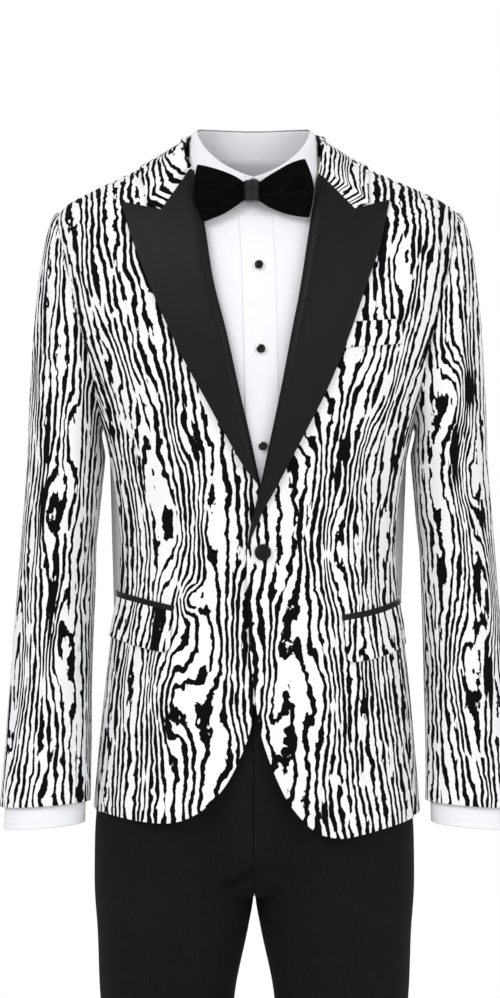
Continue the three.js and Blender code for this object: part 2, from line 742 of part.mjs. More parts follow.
for (const { word, side } of sides) {
  const surface = sleeveSurface(side);
  const spans = [
    { part: 'top', from: sleeveSeams.back - 360, to: sleeveSeams.front, count: 10 },
    { part: 'under', from: sleeveSeams.front, to: sleeveSeams.back, count: 4 },
  ];
  for (const { part, from, to, count } of spans) {
    const gap = 0.2;
    const spot = (u, v) => [THREE.MathUtils.lerp(from + gap, to - gap, u), v];
    const panel = wall(surface, spot, evenly(0, 1, count), [...capRows, ...armRows], -cloth.jacket, 0);
    add(`sleeve_${part}_${word}`, panel, finish.print);
  }
}

// Jacket collar: a leaf over the shoulders, and the stand that it folds over

const collarAt = columns(collarRows, 'at', ...Object.keys(collarRows[0]).slice(1));

// Stations of the collar from the wearer's left end over centre back to the right end.
function stations(end, count) {
  return evenly(end, -end, count).map((at) => ({ at: Math.abs(at), side: at > 0 ? 1 : -1 }));
}

const leafSteps = [
  { down: 0, lift: -1.6, up: 0.8 },
  { down: 0.03, lift: 1, up: 1.4 },
  { down: 0.16, lift: 2.4, up: 0.4 },
  { down: 0.55, lift: 2, up: 0 },
  { down: 1, lift: 0.7, up: 0 },
];

{
  const ends = [[rollLeft[0], lapelLeft.notch], [rollRight[0], lapelRight.notch]];
  // Along the gorge the leaf lies on the front beside the lapel.
  const gorge = ([from, to], off) => leafSteps.map(({ down }) => {
    const x = THREE.MathUtils.lerp(from.x, to.x, down);
    const z = THREE.MathUtils.lerp(from.z, to.z, down) + 0.7;
    return frontPoint(x, z, off);
  });
  const leaf = ({ at, side }, off) => leafSteps.map(({ down, lift, up }) => {
    const angle = side * THREE.MathUtils.lerp(collarAt.foldAngle(at), collarAt.edgeAngle(at), down);
    const z = THREE.MathUtils.lerp(collarAt.foldZ(at), collarAt.edgeZ(at), down) + up;
    return moved(jacketSurface, angle, z, 0.3 + lift + collarAt.rise(at) * (1 - down) ** 1.5 + off);
  });
  const spots = stations(7, 24);
  const skin = (off) => [
    gorge(ends[0], 0.4 + off),
    ...spots.map((spot) => leaf(spot, off)),
    gorge(ends[1], 0.4 + off),
  ];
  add('top_collar', wallBetween(skin(cloth.collar), skin(0)), finish.print);

  const stand = (off) => stations(4.1, 14).map(({ at, side }) => [0, 0.5, 1].map((up) => {
    const angle = side * THREE.MathUtils.lerp(collarAt.baseAngle(at), collarAt.foldAngle(at), up);
    const z = THREE.MathUtils.lerp(collarAt.baseZ(at), collarAt.foldZ(at), up);
    return moved(jacketSurface, angle, z, (collarAt.rise(at) + 0.4) * up - 2.4 + off);
  }));
  add('collar_stand', wallBetween(stand(1.5), stand(0)), finish.satin);
}

// Breast welt, pocket jets and flaps, moved out from the panels they lie on

const outline = (points) => new THREE.Shape(flat(points));
const pocketRows = chestRows.filter((z) => z < -420);
const pocketColumns = [...frontColumns.slice(3), 1.152];

{
  const over = wall(jacketSurface, frontSpot(1), frontColumns, chestRows, seam, seam + cloth.pocket);
  add('breast_welt', cutTo(over, outline(welt)), finish.print);
}
for (const { word, side } of sides) {
  const flapWall = wall(jacketSurface, frontSpot(side), pocketColumns, pocketRows, 0.5, 0.5 + cloth.pocket);
  add(`pocket_flap_${word}`, cutTo(flapWall, outline(pockets[word].flap)), finish.print);
  add(`pocket_jet_${word}`, cutTo(flapWall, outline(pockets[word].jet)), finish.satin);
}

// A round button or stud: its profile turned about an axis, set on a point along a direction.
function turned(profile, point, direction, segments) {
  const geometry = new THREE.LatheGeometry(profile.map(([r, h]) => new THREE.Vector2(r, h)), segments);
  geometry.applyQuaternion(new THREE.Quaternion().setFromUnitVectors(new THREE.Vector3(0, 1, 0), direction));
  geometry.translate(...point);
  return mergeVertices(geometry.deleteAttribute('normal').deleteAttribute('uv'), 1e-4);
}

{
  const r = button.radius;
  const profile = [[0, 0], [r - 2.2, 0], [r - 0.5, 1], [r, 2.2], [r - 0.7, 3.4], [r - 3, 4.2], [0, 4.6]];
  const angle = angleAt(button.x, button.z);
  const direction = normalAt(jacketSurface, angle, button.z, 0.5, 0.5);
  add('front_button', turned(profile, frontPoint(button.x, button.z, 0.9), direction, 20), finish.satin);
}

// Shirt body

const shirtX = (z) => {
  const after = shirtMiddle.findIndex((point) => point.z <= z);
  if (after <= 0) return shirtMiddle.at(after).x;
  const [high, low] = [shirtMiddle[after - 1], shirtMiddle[after]];
  return THREE.MathUtils.mapLinear(z, high.z, low.z, high.x, low.x);
};
const neckAt = columns(neckRows, 'angle', 'seam', 'fold', 'tip', 'reach');

// The place on the shirt, as angle and level, that is seen at x and z from the front or from behind.
function shirtSpot(x, z, behind = false) {
  let level = z;
  let angle = 0;
  for (let round = 0; round < 12; round += 1) {
    let [low, high] = [-90, 90];
    for (let i = 0; i < 16; i += 1) {
      const middle = (low + high) / 2;
      if (shirtSurface(behind ? 180 - middle : middle, level).x < x) low = middle;
      else high = middle;
    }
    angle = behind ? 180 - (low + high) / 2 : (low + high) / 2;
    level += z - shirtSurface(angle, level).z;
  }
  return [angle, level];
}

const neckSeamX = (angle, off = 0) => neck.middle + (neck.seamHalf + off) * Math.sin(degrees(angle));
const shirtChest = [-280, -230, -180, -135, -100, -78, -62, -46, -31, -17, -4, 6, 14];
const shirtRows = [...evenly(shirtHem, -330, 5), ...shirtChest];
const shirtLimit = (z, swing) => 90 - armholeSwing(z, swing, shirtArmhole) - seamDegrees;

for (const { word, side } of sides) {
  const spot = (u, z) => [side * THREE.MathUtils.lerp(-8, shirtLimit(z, 'swingFront'), u), z];
  const body = wall(shirtSurface, spot, evenly(0, 1, 5), shirtRows, -cloth.shirt, 0);
  const shape = new THREE.Shape();
  const hole = evenly(0, 90, 12).map((angle) => [
    neck.middle + side * (neckSeamX(angle, 0.5) - neck.middle),
    neckAt.seam(angle) - 0.5,
  ]);
  shape.moveTo(side * 240, 4.2);
  shape.lineTo(hole.at(-1)[0], 4.2);
  for (const point of [...hole].reverse().slice(0, -1)) shape.lineTo(...point);
  shape.lineTo(shirtX(-67) + side * 0.2, -68);
  for (const { x, z } of shirtMiddle.slice(2)) shape.lineTo(x + side * 0.2, z);
  shape.lineTo(side * 240, -700);
  add(`shirt_front_${word}`, cutTo(body, shape), finish.cotton);
}

{
  // The yoke's top edge dips at the neck, following the collar seam.
  const top = (angle) => {
    const turn = Math.abs(wrapped(angle));
    const x = neckSeamX(Math.max(turn, 90));
    return shirtSpot(x, neckAt.seam(Math.max(turn, 90)) - 0.5, true)[1];
  };
  const spot = (u, v) => {
    const z = THREE.MathUtils.lerp(shirtHem, top(THREE.MathUtils.lerp(90, 270, u)), v);
    return [180 + shirtLimit(z, 'swingBack') * (2 * u - 1), z];
  };
  // A yoke over the shoulders, and the back below it
  const yokeSeam = 0.8;
  const halfSeam = 0.00025;
  const yokeLevels = [yokeSeam + halfSeam, 0.87, 0.93, 1];
  const backLevelsBelow = [0, 0.1, 0.171, 0.235, 0.33, 0.45, 0.57, 0.69, yokeSeam - halfSeam];
  for (const [name, levels] of [['shirt_yoke', yokeLevels], ['shirt_back', backLevelsBelow]]) {
    add(name, wall(shirtSurface, spot, evenly(0, 1, 10), levels, -cloth.shirt, 0), finish.cotton);
  }
}

{
  const over = wall(shirtSurface, (u, z) => [u, z], evenly(-14, 14, 4), shirtRows, 0.4, 1.5);
  const half = placketWidth / 2;
  const line = shirtMiddle.slice(2);
  const shape = outline([
    { x: shirtX(-67) - half, z: -69.5 },
    ...line.map(({ x, z }) => ({ x: x - half, z })),
    ...[...line].reverse().map(({ x, z }) => ({ x: x + half, z })),
    { x: shirtX(-67) + half, z: -69.5 },
  ]);
  add('shirt_placket', cutTo(over, shape), finish.cotton);
  const r = studRadius;
  const profile = [[0, 0], [r - 1, 0], [r, 0.8], [r, 1.6], [r - 0.8, 2.1], [r - 1.1, 2.4], [0, 2.9]];
  for (const { name, x, z } of studs) {
    const spot = shirtSpot(x, z);
    const direction = normalAt(shirtSurface, ...spot, 0.5, 0.5);
    add(name, turned(profile, moved(shirtSurface, ...spot, 1.9), direction, 14), finish.stud);
  }
}

// Shirt collar: a stand round the neck, open in front, and the leaf folded down over it

function neckRing(angle, z, out) {
  const turn = degrees(angle);
  const depth = Math.cos(turn) > 0 ? neck.front : neck.back;
  return new THREE.Vector3(
    neck.middle + (neck.half + out) * Math.sin(turn),
    -(depth + out) * Math.cos(turn),
    z,
  );
}

const neckHeight = (name, angle) => neckAt[name](Math.abs(wrapped(angle)));

function standSurface(angle, up) {
  const turn = wrapped(angle);
  const spot = shirtSpot(neckSeamX(turn), neckHeight('seam', angle), Math.abs(turn) > 90);
  const top = neckRing(angle, neckHeight('fold', angle) - 1.2, 0);
  return shirtSurface(...spot).lerp(top, up);
}
standSurface.step = [0.5, 0.02];

{
  const around = [...evenly(2, 90, 8), ...evenly(108, 252, 6), ...evenly(270, 358, 8)];
  const stand = wall(standSurface, (u, v) => [u, v], around, [0.01, 0.5, 1], -cloth.shirt, 0);
  add('shirt_collar_stand', stand, finish.cotton);
  const band = wall(standSurface, (u, v) => [u, v], around, [0.36, 0.7], 1, 2, true);
  add('bow_band', band, finish.satin);

  // The leaf turns over the top of the stand and lies on the shirt; its front edges part at the throat.
  const steps = [
    { down: 0, out: 0.3, up: 0.5 },
    { down: 0.05, out: 2.6, up: 1 },
    { down: 0.35, out: 3.4, up: 0 },
    { down: 0.7, out: 3.8, up: 0 },
    { down: 1, out: 3, up: 0 },
  ];
  const leafPoint = (angle, { down, out, up }, off) => {
    const turn = wrapped(angle);
    const side = Math.sign(turn);
    const reach = neck.middle + side * neckHeight('reach', angle);
    const spot = shirtSpot(reach, neckHeight('tip', angle), Math.abs(turn) > 90);
    const away = new THREE.Vector3(Math.sin(degrees(turn)), -Math.cos(degrees(turn)), 0);
    const top = neckRing(angle, neckHeight('fold', angle), 0);
    const edge = shirtSurface(...spot);
    const lift = down === 0 ? 0 : 1;
    const tieRoom = 2.2 * smooth(60, 15, Math.abs(turn)) * Math.min(1, 3 * down);
    const tilt = normalAt(shirtSurface, ...spot, 0.5, 0.5).lerp(away, 1 - down).normalize();
    const rise = new THREE.Vector3(0, 0, up + (1 - lift) * off);
    return top.lerp(edge, down).addScaledVector(tilt, out + tieRoom + off * lift).add(rise);
  };
  const skin = (off) => steps.map((step) => around.map((angle) => leafPoint(angle, step, off)));
  add('shirt_collar_leaf', wallBetween(skin(1.2), skin(0)), finish.cotton);
}

// Shirt sleeves and cuffs

for (const { word, side } of sides) {
  const outer = sleeveSurface(side);
  const surface = (round, down) => {
    const inset = THREE.MathUtils.lerp(sleeveInset.arm, sleeveInset.cuff, smooth(0.6, 1.6, down));
    const away = moved(outer, round, down, -inset);
    const share = smooth(0.22, 0, down);
    if (share === 0) return away;
    const edge = shirtSurface(...armholeSpot(round, side, shirtArmhole));
    const leave = outer(round, 0.02).sub(outer(round, 0)).normalize();
    return away.lerp(edge.addScaledVector(leave, 0.5), share);
  };
  surface.step = outer.step;
  const toDown = (z) => 1 + (sleeveTop - z) / (sleeveTop - sleeveHem);
  const around = evenly(0, 337.5, 15);
  const downs = [0, 0.1, 0.22, 0.4, 0.65, 0.9, ...evenly(1.12, toDown(cuff.top + seam), 4)];
  const sleeve = wall(surface, (u, v) => [u, v], around, downs, -cloth.shirt, 0, true);
  add(`shirt_sleeve_${word}`, sleeve, finish.cotton);
  const cuffDowns = evenly(toDown(cuff.top - seam), toDown(cuff.hem), 2);
  const cuffWall = wall(surface, (u, v) => [u, v], around, cuffDowns, -cuff.cloth, 0.4, true);
  add(`shirt_cuff_${word}`, cuffWall, finish.cotton);
}

// Bow tie

function bowWing(side) {
  const rings = bowRows.map(({ out, tall, deep, drop, ahead }) => evenly(0, 337.5, 15).map((round) => {
    const c = Math.cos(degrees(round));
    const s = Math.sin(degrees(round));
    const edge = side * out + side * (out > 45 ? 3 * Math.abs(s) ** 3 - 1.5 : 0);
    return new THREE.Vector3(
      bow.x + edge,
      bow.y - ahead + Math.sign(c) * Math.abs(c) ** 0.7 * deep,
      bow.z + side * drop + s * tall,
    );
  }));
  return loft(rings);
}

for (const { word, side } of sides) add(`bow_wing_${word}`, bowWing(side), finish.velvet);
{
  const levels = [[-1, 0.84], [-0.86, 0.97], [0, 1], [0.86, 0.97], [1, 0.84]];
  const rings = levels.map(([up, wide]) => evenly(0, 330, 11).map((round) => {
    const c = Math.cos(degrees(round));
    const s = Math.sin(degrees(round));
    const square = (value) => Math.sign(value) * Math.abs(value) ** 0.6;
    const y = THREE.MathUtils.mapLinear(square(s) * wide, -1, 1, bow.knotFront, bow.knotBack);
    return new THREE.Vector3(bow.x + bow.knotHalf * wide * square(c), y, bow.z + bow.knotTall * up);
  }));
  add('bow_knot', loft(rings), finish.satin);
}

// Trousers: two fronts, two backs and a waistband

const hipLevels = [-568.3, -636, -700, -736, -762, -782, -796, -805];
const trouserRows = [...hipLevels, -809, -830, -880, -950, -1060, -1180, -1360, trousers.hem];

for (const { word, side } of sides) {
  const surface = trouserSurface(side);
  for (const [part, from, to, crease] of [['front', 0, 1, trousers.creaseAt], ['back', 1, 2, 1.5]]) {
    const columnsHere = [
      ...[0, 0.4, 0.84].map((share) => THREE.MathUtils.lerp(from, crease, share)),
      ...[0, 0.16, 0.55, 1].map((share) => THREE.MathUtils.lerp(crease, to, share)),
    ];
    const inner = (u) => THREE.MathUtils.lerp(from + seamShare, to - seamShare, (u - from) / (to - from));
    const panel = wall(surface, (u, v) => [inner(u), v], columnsHere, trouserRows, -cloth.trousers, 0);
    add(`trouser_${part}_${word}`, panel, finish.wool);
  }
}
{
  const band = (angle, z) => {
    const half = trouserSurface(wrapped(angle) < 0 ? -1 : 1);
    return half(Math.abs(wrapped(angle)) / 90, z);
  };
  band.step = [0.5, 0.5];
  const heights = [trousers.top + 0.4, -549, trousers.waist];
  const around = evenly(0, 345, 23);
  const ring = wall(band, (u, v) => [u, v], around, heights, -cloth.waistband, 0, true);
  add('trouser_waistband', ring, finish.wool);
}

export default tuxedo;
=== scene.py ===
import math

import bmesh
import bpy
import numpy as np
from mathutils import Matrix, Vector
from mathutils.geometry import delaunay_2d_cdt


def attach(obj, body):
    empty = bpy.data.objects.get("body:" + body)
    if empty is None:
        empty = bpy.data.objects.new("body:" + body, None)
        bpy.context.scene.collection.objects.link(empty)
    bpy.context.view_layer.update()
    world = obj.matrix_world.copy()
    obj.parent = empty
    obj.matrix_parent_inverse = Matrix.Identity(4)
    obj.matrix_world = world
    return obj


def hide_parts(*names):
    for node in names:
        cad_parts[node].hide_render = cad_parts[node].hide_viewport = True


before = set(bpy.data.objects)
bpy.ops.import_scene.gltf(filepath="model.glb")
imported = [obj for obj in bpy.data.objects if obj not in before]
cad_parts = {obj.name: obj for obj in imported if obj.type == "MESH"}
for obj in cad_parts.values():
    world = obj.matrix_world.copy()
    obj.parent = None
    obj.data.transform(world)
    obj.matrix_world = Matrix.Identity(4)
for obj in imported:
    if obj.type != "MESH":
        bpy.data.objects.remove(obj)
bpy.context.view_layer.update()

# Millimetres until a mesh is made. The wearer's front faces -Y and the wearer's left is +X.
gap = 6  # between the points of a cloth
lead = 1.3  # from an edge to the first row of points
sides = {"right": -1, "left": 1}


# Numbers and curves

def mix(a, b, t):
    return a + (b - a) * t


def smooth(zero, one, value):
    t = np.clip((value - zero) / (one - zero), 0, 1)
    return t * t * (3 - 2 * t)


def bell(value, wide):
    return np.exp(-((value / wide) ** 2))


def unit(v):
    return v / np.maximum(np.linalg.norm(v, axis=-1, keepdims=True), 1e-12)


def wrapped(angle):
    return (angle + 180) % 360 - 180


def hermite(a, slopeA, b, slopeB, t):
    return (
        (2 * t**3 - 3 * t**2 + 1) * a + (t**3 - 2 * t**2 + t) * slopeA
        + (3 * t**2 - 2 * t**3) * b + (t**3 - t**2) * slopeB
    )


def curve(x, y):
    # A smooth function through points, straight past both ends
    slopes = np.diff(y) / np.diff(x)
    inside = np.where(slopes[:-1] * slopes[1:] <= 0, 0, (slopes[:-1] + slopes[1:]) / 2)
    tangent = np.concatenate([slopes[:1], inside, slopes[-1:]])

    def at(v):
        v = np.asarray(v, float)
        i = np.clip(np.searchsorted(x, v, side="right") - 1, 0, len(x) - 2)
        span = x[i + 1] - x[i]
        t = np.clip((v - x[i]) / span, 0, 1)
        value = hermite(y[i], span * tangent[i], y[i + 1], span * tangent[i + 1], t)
        return value + tangent[0] * np.minimum(v - x[0], 0) + tangent[-1] * np.maximum(v - x[-1], 0)

    return at


class Table:
    # Smooth functions through the columns of a table, by its first column
    def __init__(self, names, rows):
        rows = np.array(sorted(rows), float)
        for i, name in enumerate(names.split()):
            setattr(self, name, curve(rows[:, 0], rows[:, i + 1]))


def softNoise(u, v, seed):
    # From -1 to 1, a cell of the noise is 1 wide
    values = np.random.default_rng(seed).uniform(-1, 1, (64, 64))
    i, j = np.floor(u).astype(int), np.floor(v).astype(int)
    s, t = u - i, v - j
    s, t = s**3 * (s * (6 * s - 15) + 10), t**3 * (t * (6 * t - 15) + 10)
    low = mix(values[i % 64, j % 64], values[(i + 1) % 64, j % 64], s)
    high = mix(values[i % 64, (j + 1) % 64], values[(i + 1) % 64, (j + 1) % 64], s)
    return mix(low, high, t)


def spline(points, apart=3.0):
    p = np.array(points, float)
    p = np.vstack([p[:1], p, p[-1:]])
    found = []
    for i in range(1, len(p) - 2):
        count = max(2, int(np.linalg.norm(p[i + 1] - p[i]) / apart))
        t = (np.arange(count) / count)[:, None]
        found.append(hermite(p[i], (p[i + 1] - p[i - 1]) / 2, p[i + 1], (p[i + 2] - p[i]) / 2, t))
    return np.vstack([*found, p[-1:]])


def straight(a, b, apart=3.0):
    a, b = np.array(a, float), np.array(b, float)
    t = np.linspace(0, 1, max(2, int(np.linalg.norm(b - a) / apart) + 1))[:, None]
    return mix(a, b, t)


def spread(length, apart=None):
    # From 0 to 1 in even steps, with one more close to each end
    count = max(3, round(length / (apart or gap)))
    near = min(lead / length, 0.4 / count)
    return np.concatenate([[0, near], np.linspace(0, 1, count + 1)[1:-1], [1 - near, 1]])


def awayFrom(points, line, closed=False):
    # How far each point is from a line, and how far along the line that is
    start = line if closed else line[:-1]
    end = np.roll(line, -1, 0) if closed else line[1:]
    step = end - start
    size = np.maximum((step**2).sum(1), 1e-12)
    before = np.concatenate([[0], np.cumsum(np.sqrt(size))[:-1]])
    far, along = [], []
    for some in np.array_split(points, len(points) // 2000 + 1):  # in parts, to spare memory
        some = some[:, None] - start
        t = np.clip((some * step).sum(2) / size, 0, 1)
        d = np.linalg.norm(some - t[..., None] * step, axis=2)
        best = d.argmin(1)
        rows = np.arange(len(best))
        far.append(d[rows, best])
        along.append((before + t * np.sqrt(size))[rows, best])
    return np.concatenate(far), np.concatenate(along)


# Surfaces. Each takes two arrays and gives a point for each pair; moved() goes out along the normal.

def moved(surface, a, b, distance):
    da, db = surface.step
    across = surface(a + da, b) - surface(a - da, b)
    along = surface(a, b + db) - surface(a, b - db)
    normal = unit(np.cross(across, along))
    return surface(a, b) + normal * (distance + 0 * a)[..., None]


def foldDepth(folds, angle, z):
    # The largest folds: angle, level, half width in degrees, half length, slant and depth
    total = 0
    for at, level, wide, long, slant, depth in folds:
        total += depth * bell(wrapped(angle - at - slant * (z - level)), wide) * bell(z - level, long)
    return total


def creaseDepth(creases, u, z):
    # Soft troughs along short lines, from place to place: half width and depth, less than 0 for a ridge
    total = 0
    for u0, z0, u1, z1, wide, depth in creases:
        du, dz = u1 - u0, z1 - z0
        long = math.hypot(du, dz)
        along = ((u - u0) * du + (z - z0) * dz) / long**2
        across = ((u - u0) * dz - (z - z0) * du) / long
        ends = smooth(-0.2, 0.3, along) * smooth(1.2, 0.6, along)
        total += depth * bell(across, wide * (0.7 + 0.6 * np.clip(along, 0, 1))) * ends
    return total


# The jacket's form, level by level
jacket = Table("middle half front back", [
    (38, -5, 69, 50, 63), (24, -5, 71, 52, 62), (10, -5, 79, 56, 61), (0, -5, 100, 62, 64),
    (-20, -4, 145, 73, 75), (-38, -2, 185, 81, 85), (-50, -1, 208, 86.5, 91), (-60, 0, 218, 91, 96),
    (-78, 0, 223, 98, 104), (-105, 0, 223, 106, 111), (-150, 0, 218, 114, 118), (-190, 0, 209, 118, 120),
    (-230, 0, 195, 119, 120), (-265, 0, 181, 118, 117), (-297, 0, 170, 117, 113), (-340, 0, 161, 114, 105),
    (-380, 0, 155, 110, 98), (-430, 0, 152, 107, 93), (-480, 0, 155, 108, 96), (-530, -1, 161, 111, 103),
    (-590, -1, 168, 115, 111), (-650, -1, 174, 119, 118), (-710, -1, 179, 123, 123),
    (-770, -1, 182, 127, 127),
])
squareness = 0.15
widestHalf = 223
clothOfDegree = 2.9  # mm of cloth for each degree round the jacket
jacketFolds = [
    (-50, -425, 13, 62, 0.04, 3.5), (52, -418, 12, 66, -0.04, 3), (-128, -420, 13, 80, 0.02, 4),
    (130, -410, 13, 85, -0.02, 4), (-152, -290, 12, 90, 0, 3), (154, -310, 12, 95, 0, 3),
    (-38, -690, 11, 60, 0, 2.5), (44, -700, 12, 66, 0, 2.5),
]
# Finer drape, in mm of cloth round the jacket and mm of height
jacketCreases = [
    (-22, -438, -118, -398, 9, 1.5), (-26, -446, -96, -478, 8, 1.1), (24, -436, 112, -392, 9, 1.4),
    (30, -448, 104, -486, 8, 1.2), (-186, -196, -172, -300, 10, 2.4), (184, -186, 168, -318, 11, 2.2),
    (-150, -262, -146, -352, 8, 1.2), (152, -240, 150, -344, 9, 1.2), (-120, -560, -128, -700, 16, 1.6),
    (96, -585, 104, -715, 15, 1.5), (392, -180, 376, -300, 12, 2.6), (-388, -190, -374, -316, 12, 2.5),
    (440, -352, 380, -398, 12, 1.8), (-446, -362, -384, -402, 11, 1.7), (350, -500, 372, -690, 18, 2),
    (-356, -520, -378, -700, 18, 1.9), (470, -120, 430, -180, 13, 1.3), (-466, -128, -428, -196, 12, 1.3),
]


def reachOf(angle):
    # How far the form reaches sideways at an angle, as a share of its half width
    s, c = np.sin(np.radians(angle)), np.cos(np.radians(angle))
    return s * (1 + squareness * c * c)


def jacketSurface(angle, z):
    s, c = np.sin(np.radians(angle)), np.cos(np.radians(angle))
    depth = np.where(c > 0, jacket.front(z), jacket.back(z))
    u = angle * clothOfDegree
    sunk = foldDepth(jacketFolds, angle, z) + creaseDepth(jacketCreases, u, z)
    sunk = sunk + 0.8 * softNoise(u / 70, z / 110, 5) * smooth(-10, -60, z)
    return np.stack([
        jacket.middle(z) + (jacket.half(z) - sunk) * reachOf(angle),
        -(depth - sunk) * c * (1 + squareness * s * s),
        z + 0 * angle,
    ], -1)


jacketSurface.step = (0.5, 0.5)
formTurns = np.linspace(0, 90, 721)
formReach = reachOf(formTurns)


def turnOf(share):
    return np.sign(share) * np.interp(np.abs(share), formReach, formTurns)


def angleAt(x, z):
    # The angle at which the form reaches x at a level, on its front
    return turnOf((x - jacket.middle(z)) / jacket.half(z))


def sunkenRight(angle, z):
    # The wearer's right front sinks under the left one where the two overlap
    x = jacketSurface(angle, z)[..., 0]
    return moved(jacketSurface, angle, z, -4.6 * smooth(-46, -14, x) * smooth(-250, -300, z))


sunkenRight.step = (0.5, 0.5)


def bodyCloth(angle, z):
    # Where a place of the jacket's body lies on its cloth, with the grain running down
    x = jacket.middle(z) + jacket.half(z) * reachOf(angle)
    across = turnOf(np.clip(x / widestHalf, -1, 1))
    across = np.where(np.abs(angle) > 90, np.sign(angle) * (180 - np.abs(across)), across)
    u = mix(angle, across, smooth(-95, -65, z)) * clothOfDegree
    return u, np.where(z > -80, -80 + 1.5 * (z + 80), z)


# The print: how many lines lie between here and the panel's edge, how much of a line's room is black
# there, and how close the lines run. Knots push the lines apart into closed rings and arches.
grainLook = {
    "period": 9.5, "line": 4.5, "sway": 11, "swaySize": (46, 190), "ripple": 5.2, "rippleSize": (18, 70),
    "least": 0.34, "most": 0.54, "stroke": 1.4,
}
sideGrain = {"from": 165, "over": 185, "wider": 0.55}


def sideways(u):
    # The grain runs wider at the sides of the body
    return u - np.sign(u) * sideGrain["wider"] * np.clip(np.abs(u) - sideGrain["from"], 0, sideGrain["over"])


def grainOf(u, v, seed, knots=(), fat=()):
    look = grainLook

    def lines(u, v):
        total = u
        for way, start in (("sway", seed), ("ripple", seed + 50)):
            wide, tall = look[way + "Size"]
            total = total + look[way] * softNoise(u / wide, v / tall, start)
        total = total / look["period"]
        for atU, atV, wide, tall, strength in knots:
            total = total + strength * bell(u - atU, wide) * bell(v - atV, tall)
        return total

    slope = np.hypot(lines(u + 0.5, v) - lines(u - 0.5, v), lines(u, v + 0.5) - lines(u, v - 0.5))
    share = np.clip(look["line"] * slope, look["least"], look["most"])
    for atU, atV, wide, tall in fat:
        share = share + look["stroke"] * bell(u - atU, wide) * bell(v - atV, tall)
    return np.stack([lines(u, v), share, np.maximum(slope, 0.03)], -1)


# Materials

class Wire:
    # A socket that sums can be written with
    def __init__(self, shader, socket):
        self.shader, self.socket = shader, socket

    def maths(self, operation, *others):
        made = self.shader.node("Math", {"operation": operation}, dict(enumerate([self, *others])))
        return Wire(self.shader, made.outputs[0])

    def __add__(self, other):
        return self.maths("ADD", other)

    __radd__ = __add__

    def __sub__(self, other):
        return self.maths("SUBTRACT", other)

    def __rsub__(self, other):
        return self * -1 + other

    def __mul__(self, other):
        return self.maths("MULTIPLY", other)

    __rmul__ = __mul__

    def __truediv__(self, other):
        return self.maths("DIVIDE", other)

    def ease(self, zero, one):
        made = self.shader.node("MapRange", {"interpolation_type": "SMOOTHSTEP"}, {
            "Value": self, "From Min": zero, "From Max": one,
        })
        return Wire(self.shader, made.outputs[0])


class Shader:
    def __init__(self, name, **constants):
        self.material = bpy.data.materials.new(name)
        self.material.use_nodes = True
        self.tree = self.material.node_tree
        self.tree.nodes.clear()
        self.surface = self.node("BsdfPrincipled", inputs=constants)
        output = self.node("OutputMaterial")
        self.tree.links.new(self.surface.outputs[0], output.inputs[0])

    def node(self, kind, settings=None, inputs=None):
        made = self.tree.nodes.new("ShaderNode" + kind)
        for name, value in (settings or {}).items():
            setattr(made, name, value)
        for name, value in (inputs or {}).items():
            if isinstance(value, Wire):
                self.tree.links.new(value.socket, made.inputs[name])
            else:
                made.inputs[name].default_value = value
        return made

    def attribute(self, name):
        return Wire(self, self.node("Attribute", {"attribute_name": name}).outputs["Vector"])

    def place(self):
        return Wire(self, self.node("TexCoord").outputs["Object"])

    def parts(self, vector):
        made = self.node("SeparateXYZ", inputs={0: vector})
        return [Wire(self, made.outputs[i]) for i in range(3)]

    def scaled(self, vector, scale):
        made = self.node("VectorMath", {"operation": "MULTIPLY"}, {0: vector, 1: scale})
        return Wire(self, made.outputs[0])

    def noise(self, vector, scale, detail=1.0):
        places = self.scaled(vector, scale)
        made = self.node("TexNoise", inputs={"Vector": places, "Scale": 1, "Detail": detail})
        return Wire(self, made.outputs[0])

    def blend(self, factor, a, b):
        made = self.node("Mix", {"data_type": "RGBA"}, {0: factor, 6: a, 7: b})
        return Wire(self, made.outputs[2])

    def weave(self, cloth, across, along, twill=0.0):
        # Threads over and under: across and along are the threads' spacings in mm
        u, v, _ = self.parts(cloth)
        warp = ((u + v * twill) * (2 * math.pi / across)).maths("SINE")
        weft = ((v - u * twill) * (2 * math.pi / along)).maths("SINE")
        return warp * 0.5 + weft * 0.5

    def finish(self, colour=None, roughness=None, height=None):
        # height is in mm
        for name, value in (("Base Color", colour), ("Roughness", roughness)):
            if value is not None:
                self.tree.links.new(value.socket, self.surface.inputs[name])
        if height is not None:
            bump = self.node("Bump", inputs={"Strength": 1, "Distance": 0.001, "Height": height})
            self.tree.links.new(bump.outputs[0], self.surface.inputs["Normal"])
        return self.material


def grey(value, blue=1.0):
    return (value, value, value * blue, 1)


printLook = {
    "ground": grey(0.90), "shade": grey(0.83, 1.02), "flock": grey(0.0016, 1.5),
    "flockWorn": grey(0.005, 1.3),
}


